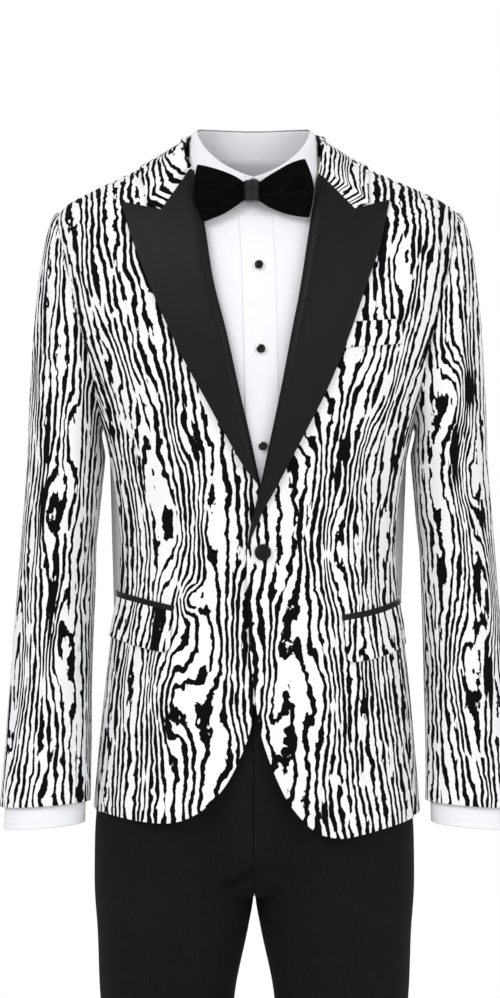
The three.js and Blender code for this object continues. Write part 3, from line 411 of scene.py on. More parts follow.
def printMaterial():
    shader = Shader("woodGrainPrint", **{"Specular IOR Level": 0.08})
    cloth, grain = shader.attribute("cloth"), shader.attribute("grain")
    lines, share, slope = shader.parts(grain)
    jag = shader.noise(cloth, (1 / 5, 1 / 7, 1), 2) - 0.5
    wave = shader.noise(cloth, (1 / 13, 1 / 19, 1), 1) - 0.5
    drift = shader.noise(cloth, (1 / 22, 1 / 62, 6), 1) - 0.5
    stretch = shader.noise(cloth, (1 / 8, 1 / 46, 1), 1) - 0.5
    breaks = shader.noise(cloth, (1 / 8, 1 / 30, 2), 1).ease(0.29, 0.4)
    blobs = shader.noise(cloth, (1 / 13, 1 / 40, 3), 1).ease(0.64, 0.74)
    at = (lines + drift * 1.0 + wave * 0.85 + jag * 0.4).maths("FRACT")
    room = (share * (stretch * 1.5 + 1.04) * breaks + blobs * 0.3) * 0.5
    inside = (room - (at - 0.5).maths("ABSOLUTE")) / slope  # mm from the edge of the black
    black = inside.ease(-0.28, 0.28)
    threads = shader.weave(cloth, 0.9, 0.8)
    shade = shader.noise(cloth, (1 / 90, 1 / 140, 4), 2).ease(0.35, 0.75)
    ground = shader.blend(shade * 0.5 + threads * 0.1, printLook["ground"], printLook["shade"])
    nap = shader.noise(cloth, (1 / 1.6, 1 / 2.4, 5), 2)
    flock = shader.blend(nap, printLook["flock"], printLook["flockWorn"])
    raised = inside.ease(-0.3, 0.9)
    height = raised * 0.28 + threads * 0.025 + nap * raised * 0.12
    return shader.finish(shader.blend(black, ground, flock), black * 0.12 + 0.82, height)


def plainCloth(name, light, dark, roughness, across, along, twill, bump, mottle=0.6, **constants):
    # A woven cloth of one colour, with stitches where its edge attribute says
    shader = Shader(name, **constants)
    cloth = shader.attribute("cloth")
    threads = shader.weave(cloth, across, along, twill)
    uneven = shader.noise(cloth, (1 / 3, 1 / 9, 1), 3)
    broad = shader.noise(cloth, (1 / 70, 1 / 120, 7), 2)
    far, along, row = shader.parts(shader.attribute("edge"))
    dash = (along * (2 * math.pi / 2.6)).maths("SINE").ease(-0.75, -0.35)
    stitch = (1 - (far - row).maths("ABSOLUTE").ease(0.25, 0.6)) * dash
    tone = (threads * 0.16 + uneven * mottle + broad * 0.4).ease(0.1, 1.1)
    colour = shader.blend(tone, dark, light)
    height = threads * bump + uneven * bump - stitch * 0.16
    return shader.finish(colour, uneven * 0.12 + (roughness - 0.06), height)


def velvetMaterial():
    shader = Shader("blackVelvet", **{
        "Sheen Weight": 0.012, "Sheen Roughness": 0.4, "Specular IOR Level": 0.03,
    })
    place = shader.place()
    nap = shader.noise(place, (420, 420, 420), 3)
    brushed = shader.noise(place, (60, 40, 90), 2)
    tone = (nap * 0.5 + brushed * 0.6).ease(0.3, 0.9)
    colour = shader.blend(tone, grey(0.0012), grey(0.005))
    return shader.finish(colour, nap * 0.1 + 0.88, nap * 0.2 + brushed * 0.3)


def glossMaterial(name, colour, roughness, **constants):
    shader = Shader(name, **constants)
    place = shader.place()
    wear = shader.noise(place, (900, 900, 900), 3)
    tone = shader.blend(wear, colour, tuple(min(1, c * 1.35 + 0.004) for c in colour[:3]) + (1,))
    return shader.finish(tone, wear * 0.1 + roughness, wear * 0.01)


materials = {
    "print": printMaterial(),
    "lining": plainCloth(
        "blackLining", grey(0.009), grey(0.005), roughness=0.42, across=0.6, along=0.6, twill=0.0, bump=0.006,
        **{"Specular IOR Level": 0.2}),
    "satin": plainCloth(
        "blackSatin", grey(0.0105, 1.06), grey(0.0062, 1.06), roughness=0.46, across=0.7, along=1.1,
        twill=0.8, bump=0.012, mottle=0.5,
        **{"Specular IOR Level": 0.13, "Sheen Weight": 0.03, "Sheen Roughness": 0.4}),
    "knotSatin": plainCloth(
        "knotSatin", grey(0.013, 1.05), grey(0.008, 1.05), roughness=0.4, across=0.6, along=0.9, twill=0.6,
        bump=0.012, mottle=0.5, **{"Specular IOR Level": 0.25, "Sheen Weight": 0.05, "Sheen Roughness": 0.4}),
    "wool": plainCloth(
        "blackWool", grey(0.0125, 1.06), grey(0.0065, 1.06), roughness=0.8, across=1.1, along=1.1, twill=1.0,
        bump=0.05, mottle=0.8, **{"Specular IOR Level": 0.04, "Sheen Weight": 0.008, "Sheen Roughness": 0.5}),
    "cotton": plainCloth(
        "whiteCotton", grey(0.92, 1.01), grey(0.84, 1.03), roughness=0.74, across=0.55, along=0.55, twill=0.0,
        bump=0.014, mottle=0.4, **{"Specular IOR Level": 0.15}),
    "velvet": velvetMaterial(),
    "stud": glossMaterial("blackStud", grey(0.002, 1.2), 0.12, **{"Specular IOR Level": 0.25}),
    "silver": glossMaterial("silverRim", grey(0.72), 0.2, Metallic=1.0),
}


# Meshes

unstitched = [0, 0, 1000.0]  # an edge whose row of stitches is out of reach


def added(name, data):
    made = bpy.data.objects.new(name, data)
    bpy.context.scene.collection.objects.link(made)
    return made


def gridFaces(rows, cols):
    i = np.arange(rows * cols).reshape(rows, cols)
    return np.stack([i[:-1, :-1], i[:-1, 1:], i[1:, 1:], i[1:, :-1]], 2).reshape(-1, 4)


def net(us, vs):
    # Every pair of two lists of places, and the faces between them
    u, v = [x.ravel() for x in np.meshgrid(us, vs)]
    return u, v, gridFaces(len(vs), len(us))


def ringFaces(rows, cols):
    # Closed rings one above the other, with a point at the foot and one at the top
    i = np.arange(rows * cols).reshape(rows, cols)
    after = np.roll(i, -1, 1)
    walls = np.stack([i[:-1], i[1:], after[1:], after[:-1]], 2).reshape(-1, 4)
    foot = np.stack([0 * i[0] + rows * cols, i[0], after[0]], 1)
    top = np.stack([0 * i[0] + rows * cols + 1, after[-1], i[-1]], 1)
    return [*walls.tolist(), *foot.tolist(), *top.tolist()]


def unstitchedCloth(cloth):
    return {"cloth": cloth, "edge": np.tile(unstitched, (len(cloth), 1))}


def meshOf(name, points, faces, finishes, slots=None, values=None):
    mesh = bpy.data.meshes.new(name)
    mesh.from_pydata((points * 0.001).tolist(), [], faces)
    for finish in finishes:
        mesh.materials.append(materials[finish])
    mesh.polygons.foreach_set("use_smooth", np.ones(len(faces), bool))
    if slots is not None:
        mesh.polygons.foreach_set("material_index", np.asarray(slots, np.int32))
    for key, value in (values or {}).items():
        layer = mesh.attributes.new(key, "FLOAT_VECTOR", "POINT")
        layer.data.foreach_set("vector", np.ascontiguousarray(value, np.float32).ravel())
    mesh.update()
    return added(name, mesh)


def shell(name, outer, inner, faces, cloth, finishes, seed=0, grain=None, stitch=None):
    # A cloth wall between two skins with the same faces, closed by a rounded edge all round.
    # stitch is how far from the edge a row of stitches runs.
    count = len(outer)
    first = faces[:, :3]
    facing = np.cross(outer[first[:, 1]] - outer[first[:, 0]], outer[first[:, 2]] - outer[first[:, 0]])
    if (facing * (outer - inner)[first[:, 0]]).sum() < 0:
        faces = faces[:, ::-1]
    ways = np.stack([faces, np.roll(faces, -1, 1)], 2).reshape(-1, 2)
    lone = ways[~np.isin(ways[:, 0] * count + ways[:, 1], ways[:, 1] * count + ways[:, 0])]
    rim, where = np.unique(lone, return_inverse=True)
    where = where.reshape(-1, 2)
    up = (outer - inner)[rim]
    thick = np.linalg.norm(up, axis=1, keepdims=True)
    runs = outer[lone[:, 1]] - outer[lone[:, 0]]
    out = np.zeros((len(rim), 3))
    for end in (0, 1):
        np.add.at(out, where[:, end], np.cross(unit(runs), unit(up)[where[:, end]]))
    out = unit(out)
    middle = (outer + inner)[rim] / 2
    rings = [
        middle + up / 2 * math.cos(turn) + out * thick / 2 * math.sin(turn)
        for turn in (math.pi / 4, math.pi / 2, 3 * math.pi / 4)
    ]
    levels = [rim, *[2 * count + k * len(rim) + np.arange(len(rim)) for k in range(3)], rim + count]
    strips = [
        np.stack([a[where[:, 1]], a[where[:, 0]], b[where[:, 0]], b[where[:, 1]]], 1)
        for a, b in zip(levels[:-1], levels[1:])
    ]
    points = np.vstack([outer, inner, *rings])
    order = np.concatenate([np.arange(count), np.arange(count), *[rim] * 3])
    edge = np.tile(unstitched, (count, 1))
    if stitch is not None:
        chain = [lone[0, 0], lone[0, 1]]
        after = dict(lone.tolist())
        while chain[-1] != chain[0] and len(chain) <= len(lone):
            chain.append(after[chain[-1]])
        far, along = awayFrom(outer, outer[chain])
        edge = np.stack([far, along, far * 0 + stitch], 1)
    values = {"cloth": np.stack([*cloth, 0 * cloth[0] + seed * 7.3], -1)[order], "edge": edge[order]}
    if grain is not None:
        values["grain"] = grain[order]
    rimFaces = np.vstack(strips)
    allFaces = [*faces.tolist(), *(faces[:, ::-1] + count).tolist(), *rimFaces.tolist()]
    slots = [0] * len(faces) + [len(finishes) - 1] * len(faces) + [0] * len(rimFaces)
    return meshOf(name, points, allFaces, finishes, slots, values)


def patch(border, apart=None):
    # A net of triangles inside a border of angles and levels. Returns the angles, the levels and the faces.
    apart = apart or gap
    scale = np.array([clothOfDegree, 1])
    line = border * scale
    keep = [0]
    for i in range(1, len(line)):
        if np.linalg.norm(line[i] - line[keep[-1]]) > 0.8 and np.linalg.norm(line[i] - line[0]) > 0.8:
            keep.append(i)
    line = line[keep]
    after = np.roll(line, -1, 0)
    if (line[:, 0] * after[:, 1] - line[:, 1] * after[:, 0]).sum() < 0:
        line = line[::-1].copy()
    runs = unit(np.roll(line, -1, 0) - np.roll(line, 1, 0))
    near = line + np.stack([-runs[:, 1], runs[:, 0]], 1) * lead
    low, high = line.min(0), line.max(0)
    xs, zs = np.meshgrid(np.arange(low[0], high[0], apart), np.arange(low[1], high[1], apart * 0.9))
    xs[::2] += apart / 2
    inner = np.stack([xs.ravel(), zs.ravel()], 1)
    inner = inner[inside(inner, line)]
    inner = inner[awayFrom(inner, line, True)[0] > apart * 0.7]
    near = near[inside(near, line)]
    near = near[awayFrom(near, line, True)[0] > lead * 0.9]
    points = [Vector(p) for p in np.vstack([line, near, inner])]
    made = delaunay_2d_cdt(points, [], [list(range(len(line)))], 1, 1e-5)
    places = np.array([tuple(p) for p in made[0]]) / scale
    faces = np.array([f for f in made[2] if len(f) == 3])
    used, faces = np.unique(faces, return_inverse=True)
    return *places[used].T, faces.reshape(-1, 3)


def inside(points, line):
    after = np.roll(line, -1, 0)
    found = np.zeros(len(points), bool)
    for a, b in zip(line, after):
        crosses = (a[1] > points[:, 1]) != (b[1] > points[:, 1])
        if a[1] != b[1]:
            reach = a[0] + (points[:, 1] - a[1]) * (b[0] - a[0]) / (b[1] - a[1])
            found ^= crosses & (points[:, 0] < reach)
    return found


def toPlaces(line):
    # An outline seen from the front, as angles and levels of the form
    return np.stack([angleAt(line[:, 0], line[:, 1]), line[:, 1]], 1)


def place(piece, finish, node, flat=None, share=1.0, held="stretched", restsOn=()):
    # share is the part of the flat rectangle that the cut fills
    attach(piece, "root")
    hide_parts(node)
    if flat is not None:
        area = flat[0] * flat[1] * share if share < 1 else None
        list(restsOn)


# The jacket's outlines, seen from the front
rolls = {
    "right": [(-70, -18), (-63.5, -54), (-58, -80), (-48.5, -140), (-34.5, -197), (-21, -258), (-8.8, -310),
              (1.8, -359)],
    "left": [(64.6, -26), (59, -62), (52.5, -105), (47, -140), (36.6, -195), (25.5, -254), (12.4, -315),
             (2.9, -359), (-7.7, -403), (-11, -427)],
}
frontEdges = {
    "right": [(12, -385), (19, -430), (19, -500), (9, -553), (-3, -586), (-12, -627), (-32, -671),
              (-53, -696),
              (-71, -709), (-95, -716.5), (-127, -716), (-161, -711), (-200, -706)],
    "left": [(-11, -465), (-9, -520), (-3, -580), (5, -627), (21, -671), (37, -700), (60, -724), (83, -732),
             (106, -730.5), (155, -720), (200, -708)],
}
lapels = {
    "right": {"notch": (-103, -65), "tip": (-145.5, -55), "outer": [
        (-136.6, -86.5), (-112.7, -149), (-80.9, -218.6), (-53.3, -269), (-20.9, -329), (4, -372)]},
    "left": {"notch": (103, -64), "tip": (140, -53), "outer": [
        (129.3, -103), (111, -154), (96, -197), (72.9, -254), (41.8, -315), (16.7, -363), (3.9, -386),
        (-6.7, -411), (-11, -427)]},
}
armhole = {"middle": -177, "halfHeight": 119, "front": 28, "back": 26}
sideSeam = {"front": 68, "back": 112, "half": 0.12}
frontSurfaces = {"right": sunkenRight, "left": jacketSurface}


def swingAt(z, swing, hole=armhole):
    share = np.clip((z - hole["middle"]) / hole["halfHeight"], -1, 1)
    return hole[swing] * np.sqrt(1 - share**2)


def hemAt(angle, side):
    return -716.5 - 5 * np.cos(np.radians(2 * angle)) - 2 * side * np.sin(np.radians(angle))


# Knots and eyes of the grain on the fronts, seen from the front: x, z, half width, half height, strength
frontKnots = {
    "right": [(-72, -480, 15, 17, 2.7), (-84, -588, 34, 46, 2.6), (-92, -398, 12, 42, -1.5),
              (-86, -298, 12, 30, 1.3), (-52, -395, 10, 40, 1.1), (-30, -640, 12, 34, -1.3),
              (-138, -560, 13, 46, 1.4), (-152, -232, 13, 38, -1.3), (-118, -110, 13, 26, 1.2)],
    "left": [(78, -436, 12, 42, 1.7), (70, -590, 16, 50, -1.5), (26, -522, 10, 42, 1.4),
             (14, -600, 9, 28, 1.2), (112, -640, 13, 46, 1.4), (58, -342, 12, 34, -1.2),
             (118, -330, 12, 48, 1.4), (136, -262, 10, 30, -1.2), (148, -120, 12, 34, 1.3),
             (150, -455, 11, 34, 1.2)],
}
# Fat strokes of black: x, z, half width, half height
fatStrokes = {
    "right": [(-128, -330, 2, 34), (-66, -318, 2.5, 12), (-96, -610, 3, 14), (-60, -560, 3, 10),
              (-176, -120, 2, 26)],
    "left": [(92, -318, 4, 14), (84, -350, 3.5, 12), (112, -590, 2, 34), (132, -96, 2.4, 34),
             (44, -404, 2, 18),
             (30, -640, 2.4, 18), (150, -330, 2, 34)],
    "flap": [(-108, -512, 4, 60)],
}


def onCloth(rows):
    found = []
    for x, z, *rest in rows:
        u, v = bodyCloth(angleAt(x, z), np.float64(z))
        found.append((sideways(u), v, *rest))
    return found


def frontGrain(word, u, v, seed):
    return grainOf(sideways(u), v, seed, onCloth(frontKnots[word]), onCloth(fatStrokes[word]))


def frontBorder(word, side):
    neck = straight((-5 + side * 80.5, 9), rolls[word][0], 0.5)
    roll = spline(rolls[word]) + [side * 1.6, 0]  # the lapel wraps over the edge
    edge = spline([rolls[word][-1], *frontEdges[word]])
    seam = sideSeam["front"] - sideSeam["half"]
    front = toPlaces(np.vstack([neck, roll, edge]))
    turn = len(neck) + len(roll)
    end = turn + np.argmax(np.abs(front[turn:, 0]) > seam)
    front = front[:end]
    under = straight((side * seam, front[-1, 1]), (side * seam, -250.7))
    rounds = np.radians(np.linspace(128.2, 0, 70))
    hole = np.stack([
        side * (90 - armhole["front"] * np.sin(rounds) - sideSeam["half"]),
        armhole["middle"] + armhole["halfHeight"] * np.cos(rounds),
    ], 1)
    shoulder = straight((side * (90 - sideSeam["half"]), -58), (side * (90 - sideSeam["half"]), 9))
    return np.vstack([front, under, hole, shoulder])


jacketLook = {
    "front": {"flat": (0.26, 0.73), "share": 0.69}, "side": {"flat": (0.13, 0.47), "share": 0.69},
    "back": {"flat": (0.25, 0.74), "share": 0.80}, "lapel": {"flat": (0.11, 0.42), "share": 0.43},
    "lapelRoll": {"start": -1.2, "over": 3.3, "high": 4.2, "round": 4.5, "fade": 34, "thick": 1.8},
}


def makeFront(number, word, side):
    surface = frontSurfaces[word]
    a, z, faces = patch(frontBorder(word, side))
    u, v = bodyCloth(a, z)
    piece = shell(f"jacketFront_{word}", surface(a, z), moved(surface, a, z, -2.0), faces, (u, v),
                  ("print", "lining"), number + 1, frontGrain(word, u, v, number + 11))
    place(piece, "print", f"jacket_front_{word}", **jacketLook["front"])


def makeLapel(number, word):
    lapel, look, surface = lapels[word], jacketLook["lapelRoll"], frontSurfaces[word]
    roll = spline(rolls[word])
    outer = spline([rolls[word][-1], *lapel["outer"][::-1][1:]])
    line = np.vstack([
        roll, outer, straight(lapel["outer"][0], lapel["tip"]), straight(lapel["tip"], lapel["notch"]),
        straight(lapel["notch"], rolls[word][0]),
    ])
    a, z, faces = patch(toPlaces(line), gap * 0.8)
    seen = jacketSurface(a, z)[:, [0, 2]]
    far, along = awayFrom(seen, roll)
    high = look["high"] * smooth(-425, -300, z)
    turn = np.sqrt(1 - (1 - np.clip(far / look["round"], 0, 1)) ** 2)
    lift = high * np.exp(-np.clip(far - look["round"], 0, None) / look["fade"])
    top = look["start"] + (look["over"] + lift) * turn
    under = np.where(far < 1.6, mix(-2.4, 0.3, smooth(0.7, 1.5, far)), np.maximum(top - look["thick"], 0.3))
    free = awayFrom(seen, spline(lapel["outer"]))[0]
    rise = 0.9 * bell(free, 9) * smooth(6, 14, far)
    skins = [moved(surface, a, z, off + rise) for off in (top, under)]
    piece = shell(f"lapelFacing_{word}", *skins, faces, (far, along), ("satin",), number + 3)
    place(piece, "satin", f"lapel_{word}", **jacketLook["lapel"], restsOn=[f"jacketFront_{word}"])


def makeFronts():
    for number, (word, side) in enumerate(sides.items()):
        makeFront(number, word, side)
        makeLapel(number, word)
    print("fronts and lapels")


def makeSide(number, word, side):
    u, v, faces = net(spread(130), spread(440))
    turn = mix(sideSeam["front"] + sideSeam["half"], sideSeam["back"] - sideSeam["half"], u)
    off = 90 - turn
    share = np.clip(np.abs(off) / np.where(off > 0, armhole["front"], armhole["back"]), 0, 1)
    floor = armhole["middle"] - armhole["halfHeight"] * np.sqrt(1 - share**2) - 0.3
    z = mix(hemAt(turn, side), floor, v)
    a = side * turn
    cloth = bodyCloth(a, z)
    piece = shell(f"jacketSide_{word}", jacketSurface(a, z), moved(jacketSurface, a, z, -2.0), faces, cloth,
                  ("print", "lining"), number + 5, grainOf(sideways(cloth[0]), cloth[1], number + 21))
    place(piece, "print", f"jacket_side_{word}", **jacketLook["side"])


backKnots = [(400, -250, 18, 60, 2.4), (460, -520, 24, 80, -3), (380, -640, 17, 50, 2.2)]


def makeBack(number, word, side):
    u, v, faces = net(spread(250, gap * 1.2), spread(730, gap * 1.2))
    z = mix(hemAt(mix(180, sideSeam["back"], u), side), 4.4 + 4.4 * u * u, v)
    edge = np.maximum(90 + swingAt(z, "back"), np.where(z < armhole["middle"], sideSeam["back"], 90))
    a = side * mix(180 - sideSeam["half"], edge + sideSeam["half"], u)
    cloth = bodyCloth(a, z)
    knots = [(side * at, *rest) for at, *rest in backKnots]
    piece = shell(f"jacketBack_{word}", jacketSurface(a, z), moved(jacketSurface, a, z, -2.0), faces, cloth,
                  ("print", "lining"), number + 7, grainOf(*cloth, number + 31, knots))
    place(piece, "print", f"jacket_back_{word}", **jacketLook["back"])


def makeBody():
    for number, (word, side) in enumerate(sides.items()):
        makeSide(number, word, side)
        makeBack(number, word, side)
    print("sides and backs")


# Sleeves: down is 0 at the armhole, 1 at the foot of the cap and 2 at the hem
sleeve = Table("outer inner lean depth", [
    (-330, 253, 168.5, 4, 66), (-385, 257.5, 173.5, 3, 62), (-440, 261.5, 177, 0, 58),
    (-528, 268, 181, -8, 52),
    (-616, 274, 182, -24, 45), (-702, 279.5, 182, -43, 37), (-760, 283, 183, -54, 34),
])
sleeveTop, sleeveHem, hemSlant = -330, -702, 3.3
sleeveFolds = [
    (150, -300, 22, 34, 0.5, 3.5), (160, -425, 26, 22, 0.2, 3), (120, -480, 24, 20, 0.2, 2.5),
    (215, -455, 26, 26, -0.2, 3), (60, -250, 20, 60, 0.1, 2.5),
]
# Finer creases at the bend of the arm and above the cuff, in mm of cloth round the sleeve
sleeveCreases = [
    (150, -446, 74, -466, 7, 1.9), (158, -482, 92, -500, 6, 1.5), (140, -404, 88, -398, 7, 1.2),
    (40, -520, 78, -545, 8, 1.1), (-20, -300, -8, -400, 11, 1.2), (60, -330, 52, -420, 10, 1.1),
    (120, -600, 84, -622, 6, 1.1), (-60, -430, -96, -474, 9, 1.6), (-50, -500, -90, -524, 8, 1.3),
    (20, -640, 60, -664, 6, 0.9),
]
sleeveLook = {
    "top": {"from": -110, "to": 135, "wide": 225, "flat": (0.28, 0.66), "share": 0.80},
    "under": {"from": 135, "to": 250, "wide": 100, "flat": (0.14, 0.56), "share": 0.66},
    "head": 1.3,
}


def sleeveRing(turn, z, side):
    sunk = foldDepth(sleeveFolds, turn, z) + creaseDepth(sleeveCreases, wrapped(turn), z)
    sunk = sunk + 0.7 * softNoise(wrapped(turn) / 55 + 9 * side, z / 80, 6)
    half = (sleeve.outer(z) - sleeve.inner(z)) / 2 - sunk
    middle = (sleeve.outer(z) + sleeve.inner(z)) / 2
    t = np.radians(turn)
    return np.stack([
        side * (middle + half * np.cos(t)),
        sleeve.lean(z) - (sleeve.depth(z) - sunk) * np.sin(t),
        z + 0 * turn,
    ], -1)


def armholeSpot(turn, side, hole=armhole):
    s = np.sin(np.radians(turn))
    swing = np.where(s > 0, hole["front"], hole["back"])
    return side * (90 - swing * s), hole["middle"] + hole["halfHeight"] * np.cos(np.radians(turn))


def sleeveSurface(side):
    def surface(turn, down):
        turn, down = np.broadcast_arrays(np.asarray(turn, float), np.asarray(down, float))
        s, c = np.sin(np.radians(turn)), np.cos(np.radians(turn))
        arm = sleeveRing(turn, mix(sleeveTop, sleeveHem - hemSlant * c, np.maximum(down, 1) - 1), side)
        leave = np.stack([side * (42 + 26 * c), -22 * s, -12 + 14 * c], -1)
        start = jacketSurface(*armholeSpot(turn, side)) + unit(leave) * 0.5
        end = sleeveRing(turn, sleeveTop + 0 * turn, side)
        fall = end[..., 2] - start[..., 2]
        arrive = np.stack([4 * side + 0 * turn, 0 * turn, fall * 1.1], -1)
        t = np.clip(down, -0.02, 1)[..., None]
        return np.where(down[..., None] >= 1, arm, hermite(start, leave, end, arrive, t))

    surface.step = (side * 0.5, 0.004)
    return surface


def sleeveCloth(point, side, z, wholeTurn):
    # Round the arm's axis, so that the grain runs straight down past the armhole seam
    level = np.minimum(z, sleeveTop)
    middle = (sleeve.outer(level) + sleeve.inner(level)) / 2
    half = (sleeve.outer(level) - sleeve.inner(level)) / 2
    across = (side * point[:, 0] - middle) / half
    ahead = -(point[:, 1] - sleeve.lean(level)) / sleeve.depth(level)
    turn = np.degrees(np.arctan2(ahead, across))
    if wholeTurn:
        turn = turn % 360
    return turn * 0.97, z


sleeveStrokes = {
    ("top", "right"): [(62, -330, 2.6, 60), (86, -470, 2.6, 44), (18, -610, 2, 36)],
    ("top", "left"): [(62, -252, 6, 16), (50, -388, 4.5, 18), (86, -318, 4, 24), (56, -560, 3, 26)],
}
sleeveKnots = {
    ("top", "right"): [(70, -395, 15, 55, 2.2), (40, -560, 14, 60, -2.2), (95, -300, 13, 40, 1.8),
                       (20, -250, 15, 50, -2), (100, -520, 13, 46, 2)],
    ("top", "left"): [(84, -262, 20, 44, 3.4), (70, -352, 18, 40, -3.0), (48, -470, 14, 60, 2.2),
                      (92, -560, 15, 48, -2.1), (30, -620, 12, 50, 1.8)],
}


def makeSleeves():
    cap, arm = spread(190), spread(375)
    downs = np.concatenate([cap[:-2], 1 + arm[2:]])
    for number, (word, side) in enumerate(sides.items()):
        surface = sleeveSurface(side)
        for part, start in (("top", 41), ("under", 51)):
            look, marks = sleeveLook[part], (part, word)
            turns = mix(look["from"] + 0.2, look["to"] - 0.2, spread(look["wide"]))
            turn, down, faces = net(turns, downs)
            skin = surface(turn, down)
            head = sleeveLook["head"] * bell(down - 0.07, 0.05) * smooth(-0.2, 0.5, np.cos(np.radians(turn)))
            cloth = sleeveCloth(skin, side, skin[:, 2], part == "under")
            grain = grainOf(*cloth, number + start, sleeveKnots.get(marks, ()), sleeveStrokes.get(marks, ()))
            skins = [moved(surface, turn, down, head - thick) for thick in (0, 2.0)]
            piece = shell(f"sleeve{part.title()}_{word}", *skins, faces, cloth, ("print", "lining"),
                          number + 9, grain)
            place(piece, "print", f"sleeve_{part}_{word}", flat=look["flat"], share=look["share"])
    print("sleeves")


# Collar of the jacket, from centre back to the notch
collar = Table("foldAngle foldZ rise edgeAngle edgeZ baseAngle baseZ", [
    (0, 180, 36, 1, 180, -12, 180, 5), (1, 150, 35, 1.5, 150, -12, 150, 5.6),
    (2, 122, 31, 2.5, 122, -10, 122, 7.4),
    (3, 90, 23, 3, 90, -8, 90, 10), (4, 66, 12, 5, 56, -18, 67, 8), (5, 41, -2, 6, 41, -31, 41, -2.5),
    (6, 30.5, -13, 4, 33, -44, 30, -14), (7, 26, -20, 2, 29.6, -55.5, 26, -21),
])
leaf = Table("lift up", [(0, -1.6, 0.8), (0.03, 1, 1.4), (0.16, 2.4, 0.4), (0.55, 2, 0), (1, 0.7, 0)])
collarLook = {"leaf": {"flat": (0.07, 0.46), "share": 0.87}, "stand": {"flat": (0.03, 0.29), "share": 0.86}}


def makeTopCollar():
    wide = 58
    downs = np.sort(np.concatenate([spread(wide, gap * 0.7), [0.012, 0.03, 0.055]]))
    ats = np.linspace(7, -7, 150)

    def leafSkin(off):
        at, down = np.meshgrid(ats, downs, indexing="ij")
        side, at = np.where(at > 0, 1, -1), np.abs(at)
        angle = side * mix(collar.foldAngle(at), collar.edgeAngle(at), down)
        z = mix(collar.foldZ(at), collar.edgeZ(at), down) + leaf.up(down)
        lift = leaf.lift(down) + collar.rise(at) * (1 - down) ** 1.5
        rows = moved(jacketSurface, angle, z, 0.3 + lift + off)

        def gorge(word):
            line = mix(np.array(rolls[word][0]), np.array(lapels[word]["notch"]), downs[:, None]) + [0, 0.7]
            return moved(jacketSurface, angleAt(line[:, 0], line[:, 1]), line[:, 1], 0.7 + off)

        t = np.linspace(0, 1, 7)[:-1, None, None]
        first, last = mix(gorge("left"), rows[0], t), mix(rows[-1], gorge("right"), 1 - t[::-1])
        return np.concatenate([first, rows, last])

    skins = [leafSkin(2.0), leafSkin(0.0)]
    rows, cols = skins[0].shape[:2]
    long = np.concatenate([[0], np.cumsum(np.linalg.norm(np.diff(skins[0][:, cols // 2], axis=0), axis=1))])
    v = np.repeat(long, cols)
    u = np.tile(downs * wide, rows) * mix(1.75, 0.95, smooth(0, long[-1], v))
    knots = [(60, 50, 14, 30, 1.6), (30, 150, 12, 40, -1.2), (30, 330, 12, 44, 1.6), (16, 400, 10, 26, -1.2)]
    skins = [skin.reshape(-1, 3) for skin in skins]
    piece = shell("topCollar", *skins, gridFaces(rows, cols), (u, v), ("print",), 13,
                  grainOf(u, v, 61, knots))
    place(piece, "print", "top_collar", **collarLook["leaf"], held="folded")


def makeCollarStand():
    tall = 34
    at, up = np.meshgrid(np.linspace(4.1, -4.1, 90), spread(tall, gap * 0.8), indexing="ij")
    faces = gridFaces(*at.shape)
    side, at, up = np.where(at > 0, 1, -1).ravel(), np.abs(at).ravel(), up.ravel()
    angle = side * mix(collar.baseAngle(at), collar.foldAngle(at), up)
    z = mix(collar.baseZ(at), collar.foldZ(at), up)
    skins = [moved(jacketSurface, angle, z, (collar.rise(at) + 0.4) * up - 2.4 + off) for off in (1.5, 0)]
    piece = shell("collarStand", *skins, faces, (up * tall, side * at * 46), ("satin",), 14)
    place(piece, "satin", "collar_stand", **collarLook["stand"])


def makeCollar():
    makeTopCollar()
    makeCollarStand()
    print("collar")


# Pockets, seen from the front
welt = [(101, -185.3), (150.5, -181.5), (154.5, -206), (92, -211.6)]
pockets = {
    "right": {
        "jet": [(-91.5, -487.5), (-110, -483.5), (-130, -479.3), (-156, -473.5), (-156.5, -478.3),
                (-130, -484.2),
                (-110, -488.5), (-91, -492.5)],
        "flapTop": [(-93.5, -493), (-110, -489.6), (-130, -485.3), (-200, -470)],
        "flapFoot": [(-200, -512), (-146.3, -525.4), (-134.5, -529), (-120.7, -532), (-109, -534.6),
                     (-100, -535.4),
                     (-95, -532), (-93.8, -526)],
    },
    "left": {
        "jet": [(89.5, -497.5), (117, -493), (135, -488.8), (156, -481), (157, -485.6), (136, -493.8),
                (117.5, -498.2), (90, -502.5)],
        "flapTop": [(90.8, -503.4), (117.6, -499.2), (136.3, -494.8), (158, -486.3), (200, -470)],
        "flapFoot": [(200, -508), (155, -531.8), (140.8, -538.2), (124.4, -542.9), (112.4, -545.2),
                     (99, -546.6),
                     (95.3, -543.5)],
    },
}
pocketLook = {
    "welt": {"flat": (0.062, 0.028), "share": 0.9}, "flap": {"flat": (0.12, 0.05), "share": 0.82},
    "jet": {"flat": (0.08, 0.012)}, "end": 79, "puff": 1.4,
}


def closedLine(points):
    points = [*points, points[0]]
    return np.vstack([straight(a, b, 2) for a, b in zip(points[:-1], points[1:])])


def flapLine(word, side):
    # The flap's outline as angles and levels, cut off straight towards the side, and its top edge
    pocket, limit = pockets[word], side * pocketLook["end"]
    top, foot = spline(pocket["flapTop"], 2), spline(pocket["flapFoot"], 2)
    line = toPlaces(np.vstack([top, foot]))
    line = line[np.abs(line[:, 0]) <= abs(limit)]
    ends = []
    for end in (toPlaces(top[-12:]), toPlaces(foot[:12])):
        end = end[np.argsort(np.abs(end[:, 0]))]
        ends.append((limit, np.interp(abs(limit), np.abs(end[:, 0]), end[:, 1])))
    turn = np.argmax(np.abs(np.diff(line[:, 1])) > 12) + 1
    return np.vstack([line[:turn], straight(*ends, 2), line[turn:]]), toPlaces(top)


